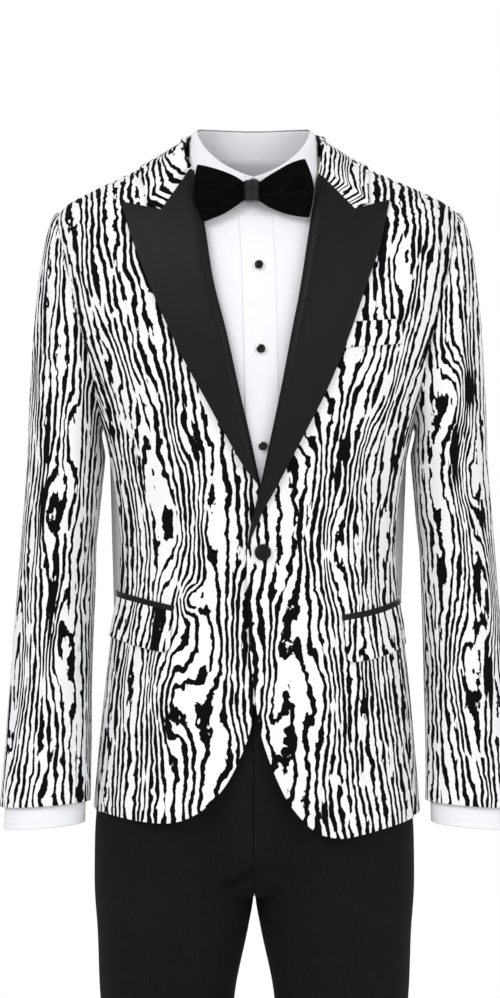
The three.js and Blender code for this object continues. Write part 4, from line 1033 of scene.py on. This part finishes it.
def makeFlap(number, word, side):
    line, top = flapLine(word, side)
    a, z, faces = patch(line, 3)
    u, v = bodyCloth(a, z)
    drop = np.clip((np.interp(np.abs(a), np.abs(top[:, 0]), top[:, 1]) - z) / 50, 0, 1)
    off = 0.5 + pocketLook["puff"] * smooth(0, 0.5, drop)
    grain = grainOf(sideways(u), v, number + 72, (), onCloth(fatStrokes["flap"]))
    skins = [moved(jacketSurface, a, z, off + 1.6), moved(jacketSurface, a, z, off)]
    piece = shell(f"pocketFlap_{word}", *skins, faces, (u, v), ("print", "lining"), number + 16, grain)
    place(piece, "print", f"pocket_flap_{word}", **pocketLook["flap"], held="hung",
          restsOn=[f"jacketFront_{word}"])


def makeStrip(name, outline, offs, finish, seed, node, front, **look):
    # A narrow piece that lies on a front
    a, z, faces = patch(toPlaces(closedLine(outline)), 3)
    u, v = bodyCloth(a, z)
    cloth, grain = ((u, v), grainOf(u, v, 71)) if finish == "print" else ((v, u), None)
    skins = [moved(jacketSurface, a, z, off) for off in offs]
    piece = shell(name, *skins, faces, cloth, (finish,), seed, grain)
    place(piece, finish, node, **look, restsOn=[f"jacketFront_{front}"])


def makePockets():
    makeStrip("breastWelt", welt, (1.9, 0.3), "print", 15, "breast_welt", "left", **pocketLook["welt"])
    for number, (word, side) in enumerate(sides.items()):
        makeFlap(number, word, side)
        makeStrip(f"pocketJet_{word}", pockets[word]["jet"], (2.1, 0.5), "satin", number + 18,
                  f"pocket_jet_{word}", word, **pocketLook["jet"])
    print("pockets")


def turned(name, profile, point, direction, finishes, rimFrom=math.inf):
    # A round piece from a profile of radius and height, foot to top, on a point along a direction
    line = spline(profile, 0.35)
    turns = np.linspace(0, 2 * math.pi, 48, endpoint=False)
    direction = unit(np.asarray(direction, float))
    across = unit(np.cross(direction, [0, 0, 1]))
    up = np.cross(across, direction)
    ring = np.cos(turns)[:, None] * across + np.sin(turns)[:, None] * up
    body = point + line[1:-1, 0, None, None] * ring + line[1:-1, 1, None, None] * direction
    rows, cols = body.shape[:2]
    points = np.vstack([body.reshape(-1, 3), *[point + line[end, 1] * direction for end in (0, -1)]])
    slots = np.concatenate([np.repeat(line[1:rows, 0] > rimFrom, cols), np.zeros(2 * cols)])
    cloth = np.stack([(points - point) @ across, (points - point) @ up, 0 * points[:, 0]], 1)
    return meshOf(name, points, ringFaces(rows, cols), finishes, slots, unstitchedCloth(cloth))


button = {"x": 4.8, "z": -429.7, "radius": 8.8}


def makeButton():
    r = button["radius"]
    a, z = angleAt(button["x"], button["z"]), np.float64(button["z"])
    foot = moved(jacketSurface, a, z, 0.9)
    direction = moved(jacketSurface, a, z, 1.9) - foot
    profile = [
        (0, 0), (r - 3, 0), (r - 0.8, 0.7), (r, 1.9), (r - 0.5, 3.1), (r - 2.2, 3.8), (r - 5, 4.3), (0, 4.5),
    ]
    place(turned("frontButton", profile, foot, direction, ("satin",)), "satin", "front_button")


# Shirt
insetAt = curve(np.array([-700, -530, -490, -350, -250, 30.0]), np.array([20, 20, 14, 11, 9, 9.0]))
shirtMiddle = [(-4, -50), (0.8, -124), (2.9, -213), (5, -317), (5, -640)]
shirtArmhole = {"middle": -176, "halfHeight": 110, "front": 24.5, "back": 22.5}
shirtHem = -640
neck = {"middle": -5, "seamHalf": 65, "half": 62, "front": 70, "back": 51}
neckRows = Table("seam fold tip reach", [
    (0, -67, -28, -31, 2), (12, -64, -23.5, -52, 23), (26, -56, -16, -73, 46), (38, -45, -8, -60, 58),
    (55, -27, 5, -32, 66), (75, -7, 21, -6, 68), (90, 1, 30, 3, 68), (130, 4, 36, 4, 50), (180, 4, 37, 4, 0),
])
shirtLook = {
    "front": {"flat": (0.27, 0.66), "share": 0.72}, "back": {"flat": (0.5, 0.53), "share": 0.85},
    "yoke": {"flat": (0.46, 0.16), "share": 0.8}, "placket": {"flat": (0.035, 0.585)},
    "sleeve": {"flat": (0.36, 0.56), "share": 0.68}, "cuff": {"flat": (0.26, 0.078)},
    "stand": {"flat": (0.42, 0.055), "share": 0.6}, "leaf": {"flat": (0.45, 0.07), "share": 0.6},
    "band": {"flat": (0.4, 0.02), "share": 0.8},
}
shirtCreases = [
    (-30, -150, -70, -215, 6, 0.7), (34, -150, 66, -235, 6, 0.6), (12, -330, 40, -400, 5, 0.8),
    (-24, -300, -44, -370, 6, 0.7),
]


def shirtSurface(angle, z):
    x = angle * clothOfDegree
    return moved(jacketSurface, angle, z, -insetAt(z) - creaseDepth(shirtCreases, x, z))


shirtSurface.step = (0.5, 0.5)


def shirtSpot(x, z, behind=False):
    # The place on the shirt, as angle and level, that is seen at x and z from the front or from behind
    x, z = np.broadcast_arrays(np.asarray(x, float), np.asarray(z, float))
    turn, level = turnOf(np.clip((x + 3) / 150, -0.95, 0.95)), z.copy()
    for _ in range(40):
        angle = np.where(behind, 180 - turn, turn)
        point = shirtSurface(angle, level)
        ahead = shirtSurface(np.where(behind, 179.5 - turn, turn + 0.5), level)
        slope = np.maximum((ahead - point)[..., 0] / 0.5, 0.5)
        turn = np.clip(turn + 0.8 * (x - point[..., 0]) / slope, -90, 90)
        level = level + 0.8 * (z - point[..., 2])
    return np.where(behind, 180 - turn, turn), level


def middleX(z):
    line = np.array(shirtMiddle[::-1])
    return np.interp(z, line[:, 1], line[:, 0])


def neckSeamX(angle, off=0.0):
    return neck["middle"] + (neck["seamHalf"] + off) * np.sin(np.radians(angle))


def makeShirtFronts():
    for number, (word, side) in enumerate(sides.items()):
        turns = np.linspace(90, 2, 40)
        hole = np.stack([neckSeamX(side * turns, 0.5), neckRows.seam(turns) - 0.5], 1)
        levels = np.arange(-68, shirtHem, -6.0)
        centre = np.stack([middleX(levels) + side * 0.2, levels], 1)
        front = np.stack(shirtSpot(*np.vstack([hole, centre]).T), 1)
        edge = side * (90 - 0.2)
        foot = straight((front[-1, 0], shirtHem), (edge, shirtHem), 1)
        rounds = np.radians(np.linspace(180, 0, 60))
        arm = np.stack([
            edge - side * shirtArmhole["front"] * np.sin(rounds),
            shirtArmhole["middle"] + shirtArmhole["halfHeight"] * np.cos(rounds),
        ], 1)
        shoulder = shirtSpot(np.array([hole[0, 0]]), np.array([4.2]))[1][0]
        top = straight((edge, -66), (edge, shoulder))
        a, z, faces = patch(np.vstack([front, foot, arm, top]), gap * 1.4)
        piece = shell(f"shirtFront_{word}", shirtSurface(a, z), moved(shirtSurface, a, z, -1.2), faces,
                      (a * clothOfDegree, z), ("cotton",), number + 20)
        place(piece, "cotton", f"shirt_front_{word}", **shirtLook["front"])


def shirtBackPlace(u, v):
    # From one armhole to the other, and from the hem to the neck
    turn = mix(90.0, 270.0, u)
    away = np.maximum(np.abs(wrapped(turn)), 90)
    top = shirtSpot(neckSeamX(wrapped(turn)), neckRows.seam(away) - 0.5, True)[1]
    z = mix(shirtHem, top, v)
    limit = 90 - swingAt(z, "back", shirtArmhole) - sideSeam["half"]
    return 180 + limit * (2 * u - 1), z


def makeShirtBack():
    wide, tall, seam, half = 470, 640, 0.8, 0.00025
    for part, low, high in (("yoke", seam + half, 1), ("back", 0, seam - half)):
        u, v, faces = net(spread(wide, gap * 1.6), mix(low, high, spread((high - low) * tall, gap * 1.6)))
        a, z = shirtBackPlace(u, v)
        piece = shell(f"shirt{part.title()}", shirtSurface(a, z), moved(shirtSurface, a, z, -1.2), faces,
                      (u * wide, z), ("cotton",), 22)
        place(piece, "cotton", f"shirt_{part}", **shirtLook[part])


def makePlacket():
    wide = 35
    x, z, faces = net((spread(wide, 3) - 0.5) * wide, np.arange(-69.5, shirtHem, -4.0))
    spots = shirtSpot(x + middleX(np.minimum(z, -67)), z)
    top = mix(1.3, 0.6, smooth(-14, 14, x))  # the wearer's right edge shows more
    piece = shell("shirtPlacket", moved(shirtSurface, *spots, top), moved(shirtSurface, *spots, 0.25), faces,
                  (x, z), ("cotton",), 23)
    place(piece, "cotton", "shirt_placket", **shirtLook["placket"], restsOn=["shirtFront_left"])


studs = {
    "radius": 5.4, "rim": 0.5, "at": {"upper": (0.8, -124), "middle": (2.9, -213.5), "lower": (5, -316.5)},
}


def makeStuds():
    r = studs["radius"]
    profile = [
        (0, 0), (r - 1.2, 0), (r - 0.2, 0.4), (r, 0.9), (r - 0.2, 1.5), (r - 0.75, 1.75), (r - 0.9, 1.65),
        (r - 1.3, 2.1), (r - 2.6, 2.65), (0, 2.95),
    ]
    for name, at in studs["at"].items():
        spot = shirtSpot(*at)
        foot = moved(shirtSurface, *spot, 1.9)
        direction = moved(shirtSurface, *spot, 2.9) - foot
        piece = turned(f"stud{name.title()}", profile, foot, direction, ("stud", "silver"), r - studs["rim"])
        place(piece, "stud", f"stud_{name}")


def makeShirtBody():
    makeShirtFronts()
    makeShirtBack()
    makePlacket()
    makeStuds()
    print("shirt body")


def neckRing(angle, z, out):
    turn = np.radians(angle)
    depth = np.where(np.cos(turn) > 0, neck["front"], neck["back"])
    return np.stack([
        neck["middle"] + (neck["half"] + out) * np.sin(turn), -(depth + out) * np.cos(turn), z + 0 * turn,
    ], -1)


def makeShirtCollar():
    turns = np.concatenate([[0.3, 1.4], np.arange(3, 358, 2.0), [358.6, 359.7]])
    away = np.abs(wrapped(turns))
    behind = away > 90
    seam = shirtSurface(*shirtSpot(neckSeamX(wrapped(turns)), neckRows.seam(away), behind))
    top = neckRing(turns, neckRows.fold(away) - 1.2, 0)
    outward = unit(np.stack([np.sin(np.radians(turns)), -np.cos(np.radians(turns)), 0 * turns], 1))
    ups = spread(40, gap * 0.8)

    def standSkin(ups, off):
        return (mix(seam[None], top[None], ups[:, None, None]) + outward * off).reshape(-1, 3)

    def ringCloth(ups):
        return np.tile(turns * 1.13, len(ups)), np.repeat(ups * 40, len(turns))

    faces = gridFaces(len(ups), len(turns))
    piece = shell("shirtCollarStand", standSkin(ups, 0), standSkin(ups, -1.2), faces,
                  ringCloth(ups), ("cotton",), 24)
    place(piece, "cotton", "shirt_collar_stand", **shirtLook["stand"])
    bands = mix(0.36, 0.7, spread(14, 3))
    faces = gridFaces(len(bands), len(turns))
    piece = shell("bowBand", standSkin(bands, 2), standSkin(bands, 1), faces,
                  ringCloth(bands), ("satin",), 25)
    place(piece, "satin", "bow_band", **shirtLook["band"], restsOn=["shirtCollarStand"])

    fall = Table("out up", [(0, 0.3, 0.5), (0.05, 2.6, 1), (0.35, 3.4, 0), (0.7, 3.8, 0), (1, 3, 0)])
    reach = np.sign(wrapped(turns)) * neckRows.reach(away)
    spots = shirtSpot(neck["middle"] + reach, neckRows.tip(away), behind)
    edge = shirtSurface(*spots)
    tilt = unit(moved(shirtSurface, *spots, 1.0) - edge)
    top = neckRing(turns, neckRows.fold(away), 0)
    downs = np.sort(np.concatenate([spread(55, gap * 0.8), [0.012, 0.03]]))

    def leafSkin(off):
        rows = []
        for down in downs:
            lift = float(smooth(0, 0.05, down))
            room = 2.2 * smooth(60, 15, away) * min(1, 3 * down)
            way = unit(mix(tilt, outward, 1 - down))
            out = fall.out(down) + room + off * lift
            rise = fall.up(down) + (1 - lift) * off
            rows.append(mix(top, edge, down) + way * out[:, None] + np.array([0, 0, float(rise)]))
        return np.concatenate(rows)

    faces = gridFaces(len(downs), len(turns))
    cloth = (np.tile(turns * 1.13, len(downs)), np.repeat(downs * 50, len(turns)))
    piece = shell("shirtCollarLeaf", leafSkin(1.2), leafSkin(0), faces, cloth, ("cotton",), 26, stitch=5.5)
    place(piece, "cotton", "shirt_collar_leaf", **shirtLook["leaf"], held="folded")
    print("shirt collar")


def shirtSleeveSurface(side):
    # Inside the jacket's sleeve, and joined to the shirt at its own armhole
    outer = sleeveSurface(side)

    def surface(turn, down):
        inset = mix(8.5, 6.0, smooth(0.6, 1.6, down))
        away = moved(outer, turn, down, -inset)
        share = smooth(0.22, 0, down)[..., None]
        edge = shirtSurface(*armholeSpot(turn, side, shirtArmhole))
        leave = unit(outer(turn, 0 * down + 0.02) - outer(turn, 0 * down))
        return mix(away, edge + leave * 0.5, share)

    surface.step = outer.step
    return surface


def makeShirtSleeves():
    seam, hem = [1 + (sleeveTop - z) / (sleeveTop - sleeveHem) for z in (-648, -725)]
    half = 0.3 / (sleeveTop - sleeveHem)
    turns = np.linspace(-129.8, 229.8, 92)
    parts = {
        "sleeve": {"ups": mix(0, seam - half, spread(480, gap * 1.5)), "offs": (0, -1.2), "stitch": None},
        "cuff": {"ups": mix(seam + half, hem, spread(78)), "offs": (0.5, -1.6), "stitch": 5.5},
    }
    for number, (word, side) in enumerate(sides.items()):
        surface = shirtSleeveSurface(side)
        for part, look in parts.items():
            turn, down, faces = net(turns, look["ups"])
            skins = [moved(surface, turn, down, off) for off in look["offs"]]
            cloth = (turn * 0.8, skins[0][:, 2])
            piece = shell(f"shirt{part.title()}_{word}", *skins, faces, cloth, ("cotton",), number + 27,
                          stitch=look["stitch"])
            place(piece, "cotton", f"shirt_{part}_{word}", **shirtLook[part])
    print("shirt sleeves")


# Bow tie. Heights of a wing's upper and lower edge on the way out from the knot, and how deep it is
bow = {
    "x": -7, "y": -93, "z": -43.7, "knotHalf": 8.3, "knotTop": 10.6, "knotFoot": 10.8,
    "front": -104, "back": -81.4,
}
wingRows = {
    "right": Table("top foot deep", [(5, 8.2, -9.5, 3.8), (8.3, 9.6, -10.6, 4.6), (16, 14.6, -16, 6),
                                     (28, 19.9, -23.6, 7),
                                     (42, 24.2, -29.8, 6.4), (54, 26.8, -34, 5), (62, 27.6, -35, 3.6)]),
    "left": Table("top foot deep", [(5, 8.2, -10.2, 3.8), (8.4, 9.7, -11.4, 4.6), (16, 14.8, -16.2, 6),
                                    (25, 20.2, -20.5, 7),
                                    (41, 28.9, -25.8, 6.4), (54, 33, -28.2, 5), (64, 33.8, -28.9, 3.6)]),
}
# How far out the end of each layer lies, at its upper corner, its middle and its lower corner
wingEnds = {
    "right": {"front": (57.5, 57.2, 51.5), "back": (58.5, 62.5, 51.8)},
    "left": {"front": (56.6, 62.8, 60.4), "back": (57.2, 66.5, 61.4)},
}


wingLayers = {"back": {"shift": 4.6, "deep": 0.55}, "front": {"shift": 0.0, "deep": 0.62}}
# Pinches beside the knot: how high on the wing, half width, depth, and how far out they end and are full
wingPinches = [(0, 0.16, 1.9, 0.75, 0.1), (0.55, 0.13, 1.2, 0.55, 0.05), (-0.5, 0.13, 1.2, 0.5, 0.05)]


def wingSkins(word, side, layer):
    rows, look = wingRows[word], wingLayers[layer]
    upper, middle, lower = wingEnds[word][layer]
    w = np.linspace(-1, 1, 41)
    end = mix(middle, np.where(w > 0, upper, lower), np.abs(w) ** 1.6)
    t = np.concatenate([np.linspace(0, 0.94, 36), [0.96, 0.975, 0.988, 0.996, 1]])
    t, w = np.meshgrid(t, w, indexing="ij")
    out = mix(5.0, end[None], t)
    x, z = bow["x"] + side * out, bow["z"] + mix(rows.foot(out), rows.top(out), (w + 1) / 2)
    pinch = sum(
        depth * bell(w - at, wide) * smooth(far, near, t) for at, wide, depth, far, near in wingPinches
    )
    rounded = np.sqrt(1 - np.abs(w) ** 4) * np.sqrt(np.clip(1 - ((t - 0.9) / 0.1).clip(0) ** 2, 0, 1))
    deep = rows.deep(out) * look["deep"]
    y = bow["y"] - 6 * smooth(10, 62, out) + look["shift"] * smooth(8, 40, out)
    skins = [np.stack([x, y + off * rounded, z], -1).reshape(-1, 3) for off in (pinch - deep, 0.75 * deep)]
    return skins, gridFaces(*t.shape)


def makeWing(word, side):
    points, faces, count = [], [], 0
    for layer in wingLayers:
        skins, grid = wingSkins(word, side, layer)
        grid = (grid[:, ::-1] if side > 0 else grid) + count
        size = len(skins[0])
        faces += [*grid.tolist(), *(grid[:, ::-1] + size).tolist()]
        points += skins
        count += 2 * size
    piece = meshOf(f"bowWing_{word}", np.vstack(points), faces, ("velvet",))
    weldEdges(piece)
    place(piece, "velvet", f"bow_wing_{word}")


def makeKnot():
    turns = np.linspace(0, 2 * math.pi, 64, endpoint=False)
    c, s = np.cos(turns), np.sin(turns)
    across, behind = [np.sign(v) * np.abs(v) ** 0.62 for v in (c, s)]
    levels = np.linspace(-1, 1, 33)
    rings = []
    for up in levels:
        wide = (1 - np.abs(up) ** 14 * 0.1) * (1 - 0.035 * bell(up - 0.2, 0.12))
        tuck = 1.5 * bell(up - 0.2, 0.09) + 0.9 * smooth(0.2, 0.34, up) - 0.5 * bell(up - 0.02, 0.12)
        y = mix(bow["front"], bow["back"], (behind * wide + 1) / 2)
        y = y + np.clip(-behind, 0, 1) * tuck * (1 + 0.2 * c)
        z = bow["z"] + (bow["knotTop"] if up > 0 else bow["knotFoot"]) * up + 0.35 * c * bell(up - 0.2, 0.3)
        rings.append(np.stack([bow["x"] + bow["knotHalf"] * wide * across, y, z], -1))
    points = np.concatenate([*rings, [rings[0].mean(0), rings[-1].mean(0)]])
    faces = [face[::-1] for face in ringFaces(len(levels), len(turns))]
    piece = meshOf("bowKnot", points, faces, ("knotSatin",), values=unstitchedCloth(points[:, [0, 2, 1]]))
    place(piece, "knotSatin", "bow_knot")


def makeBow():
    for word, side in sides.items():
        makeWing(word, side)
    makeKnot()
    print("bow tie")


def weldEdges(piece):
    mesh = bmesh.new()
    mesh.from_mesh(piece.data)
    bmesh.ops.remove_doubles(mesh, verts=mesh.verts, dist=5e-5)
    bmesh.ops.recalc_face_normals(mesh, faces=mesh.faces)
    mesh.to_mesh(piece.data)
    mesh.free()


# Trousers
hips = Table("half front back", [
    (-500, 146, 95, 82), (-530, 150, 98, 88), (-568, 155, 101, 95), (-600, 160, 103, 102),
    (-650, 165.5, 106, 110),
    (-700, 170.5, 108, 113.5), (-750, 175, 108, 113), (-809, 175, 105, 109), (-860, 172, 100, 104),
])
legs = Table("middle half front back shift", [
    (-730, 88, 87.4, 104, 108, 0), (-809, 88, 87, 98, 103, 0), (-842, 89.5, 83, 94, 100, 0),
    (-922, 95.5, 73.5, 86, 94, 1), (-1050, 95, 66, 78, 86, 2), (-1180, 93, 59, 70, 78, 3),
    (-1400, 90.5, 53, 64, 72, 6), (-1585, 89, 50, 62, 70, 9),
])
trousers = {
    "middle": -4, "top": -568, "waist": -530, "fork": -735, "crotch": -809, "hem": -1580, "creaseAt": 0.57,
    "backCrease": 1.5, "pressed": 5, "ridge": 3.0, "flyLap": 1.3,
}
trouserLook = {
    "front": {"flat": (0.29, 1.04), "share": 0.72}, "back": {"flat": (0.33, 1.04), "share": 0.72},
    "band": {"flat": (0.88, 0.038), "share": 0.98},
}
# Drape seen from the front: x, z to x, z, half width and depth
frontCreases = [
    (2, -762, -42, -798, 3.6, 8), (2, -748, -44, -780, 6, -4.5), (-4, -782, -30, -820, 5, 2.4),
    (0, -766, 44, -776, 4, 5), (0, -754, 44, -762, 6, -2.5), (4, -790, 30, -832, 5, 1.8),
    (-60, -880, -128, -842, 14, 3.2), (70, -902, 132, -858, 15, 3.0),
    (-104, -1090, -60, -1108, 9, 2.2), (98, -1104, 58, -1122, 10, 2.0), (-112, -1150, -66, -1136, 9, 1.6),
    (-60, -1470, -110, -1496, 9, 2.4), (64, -1484, 112, -1504, 9, 2.2), (-66, -1530, -112, -1546, 8, 2.0),
    (60, -1540, 110, -1556, 8, 2.1),
]
backCreases = [
    (-24, -792, -110, -812, 9, 3.4), (26, -796, 112, -808, 9, 3.0), (-30, -828, -96, -846, 8, 2.4),
    (34, -834, 100, -850, 8, 2.2), (-70, -1102, -126, -1088, 11, 3.0), (64, -1094, 120, -1106, 11, 2.8),
    (-62, -1136, -118, -1150, 10, 2.2), (-60, -1488, -112, -1478, 9, 2.4), (66, -1494, 110, -1484, 9, 2.2),
]


def trouserSurface(side):
    def surface(turn, z):
        t = np.radians(turn * 90)
        hs, hc = np.sin(t), np.cos(t)
        hipDepth = np.where(hc > 0, hips.front(z), hips.back(z))
        hipX = hips.half(z) * hs * (1 + squareness * hc * hc)
        hipY = -hipDepth * hc * (1 + squareness * hs * hs)
        ls, lc = np.sin(2 * t), np.cos(2 * t)
        legDepth = np.where(ls > 0, legs.front(z), legs.back(z))
        off = turn - np.where(turn < 1, trousers["creaseAt"], trousers["backCrease"])
        pressed = trousers["pressed"] * bell(off, 0.07) + trousers["ridge"] * np.exp(-np.abs(off) / 0.016)
        legX = legs.middle(z) - legs.half(z) * lc
        legY = legs.shift(z) - (legDepth + smooth(-640, -860, z) * pressed) * ls
        into = np.clip((trousers["fork"] - z) / (trousers["fork"] - trousers["crotch"]), 0, 1)
        inner = bell(np.minimum(turn, 2 - turn), 0.22)
        share = mix(smooth(-610, -850, z), 1 - np.sqrt(1 - into**2), inner)
        x = trousers["middle"] + side * mix(hipX, legX, share)
        y = mix(hipY, legY, share)
        front = smooth(-0.03, 0.035, turn) * smooth(1.0, 0.85, turn)
        back = smooth(1.98, 1.9, turn) * smooth(1.0, 1.15, turn)
        sunk = front * creaseDepth(frontCreases, x, z) - back * creaseDepth(backCreases, x, z)
        # The fly laps left over right
        sunk = sunk - side * trousers["flyLap"] * smooth(0.022, 0.006, turn) * smooth(-800, -770, z)
        sunk = sunk + 1.2 * softNoise(x / 60, z / 150, 8) * (front - back) * smooth(-590, -650, z)
        return np.stack([x, y + sunk, z + 0 * turn], -1)

    surface.step = (side * 0.004, 0.5)
    return surface


def makeTrouserLegs():
    seam, wide = 0.0012, 260
    fork, crotch = trousers["fork"] - 1, trousers["crotch"]
    zs = np.concatenate([
        mix(trousers["top"] - 0.3, fork, spread(168)[:-1]),
        np.linspace(fork, crotch, 28)[:-1],
        mix(crotch, trousers["hem"], spread(771, gap * 1.25)),
    ])
    half = spread(wide / 2, gap * 1.1)
    parts = (("front", 0, 1, trousers["creaseAt"]), ("back", 1, 2, trousers["backCrease"]))
    for number, (word, side) in enumerate(sides.items()):
        surface = trouserSurface(side)
        for part, low, high, crease in parts:
            edges = np.concatenate([mix(low, crease, half), mix(crease, high, half)[1:]])
            turn, z, faces = net(mix(low + seam, high - seam, edges - low), zs)
            skins = [surface(turn, z), moved(surface, turn, z, -1.6)]
            piece = shell(f"trouser{part.title()}_{word}", *skins, faces, (turn * wide, z), ("wool",),
                          number + 30)
            place(piece, "wool", f"trouser_{part}_{word}", **trouserLook[part])


def makeWaistband():
    def band(angle, z):
        halves = [trouserSurface(s)(np.abs(wrapped(angle)) / 90, z) for s in (-1, 1)]
        return np.where((wrapped(angle) < 0)[..., None], *halves)

    band.step = (0.5, 0.5)
    zs = mix(trousers["top"] + 0.4, trousers["waist"], spread(38))
    turn, z, faces = net(np.linspace(-179.9, 179.9, 180), zs)
    skins = [band(turn, z), moved(band, turn, z, -2.6)]
    piece = shell("trouserWaistband", *skins, faces, (turn * 2.4, z), ("wool",), 34)
    place(piece, "wool", "trouser_waistband", **trouserLook["band"])


def makeTrousers():
    makeTrouserLegs()
    makeWaistband()
    print("trousers")


# Floor, light and camera

floorLook = {"radius": 2.6, "z": -1.583, "dark": 0.80, "light": 0.84, "roughness": 0.8}
skyLook = {
    "seen": {"colour": (1, 1, 1, 1), "strength": 1.0},
    "soft": {"colour": (0.97, 0.98, 1, 1), "strength": 0.62},
}
lamps = {
    "key": {"at": (-2.0, -2.6, 1.5), "size": 1.6, "power": 54},
    "fill": {"at": (2.3, -2.4, 0.5), "size": 1.8, "power": 30},
    "back": {"at": (0.6, 3.2, 0.9), "size": 2.4, "power": 60},
    "low": {"at": (0.2, -3.0, -1.3), "size": 1.6, "power": 7},
}
lampAim = (0, 0, -0.5)
cameraLook = {"at": (-0.0088, -3.2, -0.373), "lens": 104.93, "sensor": 36}


def makeFloor():
    shader = Shader("paleFloor")
    speck = shader.noise(shader.place(), (3, 3, 3), 4)
    colour = shader.blend(speck, grey(floorLook["dark"]), grey(floorLook["light"]))
    mesh = bpy.data.meshes.new("floor")
    turns = np.linspace(0, 2 * math.pi, 96, endpoint=False)
    radius = floorLook["radius"]
    ring = [(radius * math.cos(t), radius * math.sin(t), floorLook["z"]) for t in turns]
    mesh.from_pydata(ring, [], [list(range(len(ring)))])
    mesh.materials.append(shader.finish(colour, speck * 0.1 + floorLook["roughness"]))
    added("floor", mesh)


def makeSky():
    # White where the camera sees it, and softer as a light
    world = bpy.data.worlds.new("studio")
    bpy.context.scene.world = world
    world.use_nodes = True
    tree = world.node_tree
    nodes = {"seen": tree.nodes["Background"], "soft": tree.nodes.new("ShaderNodeBackground")}
    for name, node in nodes.items():
        node.inputs["Color"].default_value = skyLook[name]["colour"]
        node.inputs["Strength"].default_value = skyLook[name]["strength"]
    rays, mixed = tree.nodes.new("ShaderNodeLightPath"), tree.nodes.new("ShaderNodeMixShader")
    tree.links.new(rays.outputs["Is Camera Ray"], mixed.inputs[0])
    tree.links.new(nodes["soft"].outputs[0], mixed.inputs[1])
    tree.links.new(nodes["seen"].outputs[0], mixed.inputs[2])
    tree.links.new(mixed.outputs[0], tree.nodes["World Output"].inputs[0])


def makeLamps():
    for name, lamp in lamps.items():
        light = bpy.data.lights.new(name, "AREA")
        light.size = lamp["size"]
        light.energy = lamp["power"]
        holder = added(name, light)
        holder.location = lamp["at"]
        aim = Vector(lampAim) - holder.location
        holder.rotation_euler = aim.to_track_quat("-Z", "Y").to_euler()


def makeCamera():
    camera = bpy.data.cameras.new("camera")
    camera.lens = cameraLook["lens"]
    camera.sensor_width = cameraLook["sensor"]
    camera.clip_end = 50
    holder = added("camera", camera)
    holder.location = cameraLook["at"]
    holder.rotation_euler = (math.pi / 2, 0, 0)
    bpy.context.scene.camera = holder


def makeStage():
    bpy.context.scene.view_settings.view_transform = "Standard"
    makeFloor()
    makeSky()
    makeLamps()
    makeCamera()
    print("stage")


makeFronts()
makeBody()
makeSleeves()
makeCollar()
makePockets()
makeButton()
makeShirtBody()
makeShirtCollar()
makeShirtSleeves()
makeBow()
makeTrousers()
makeStage()
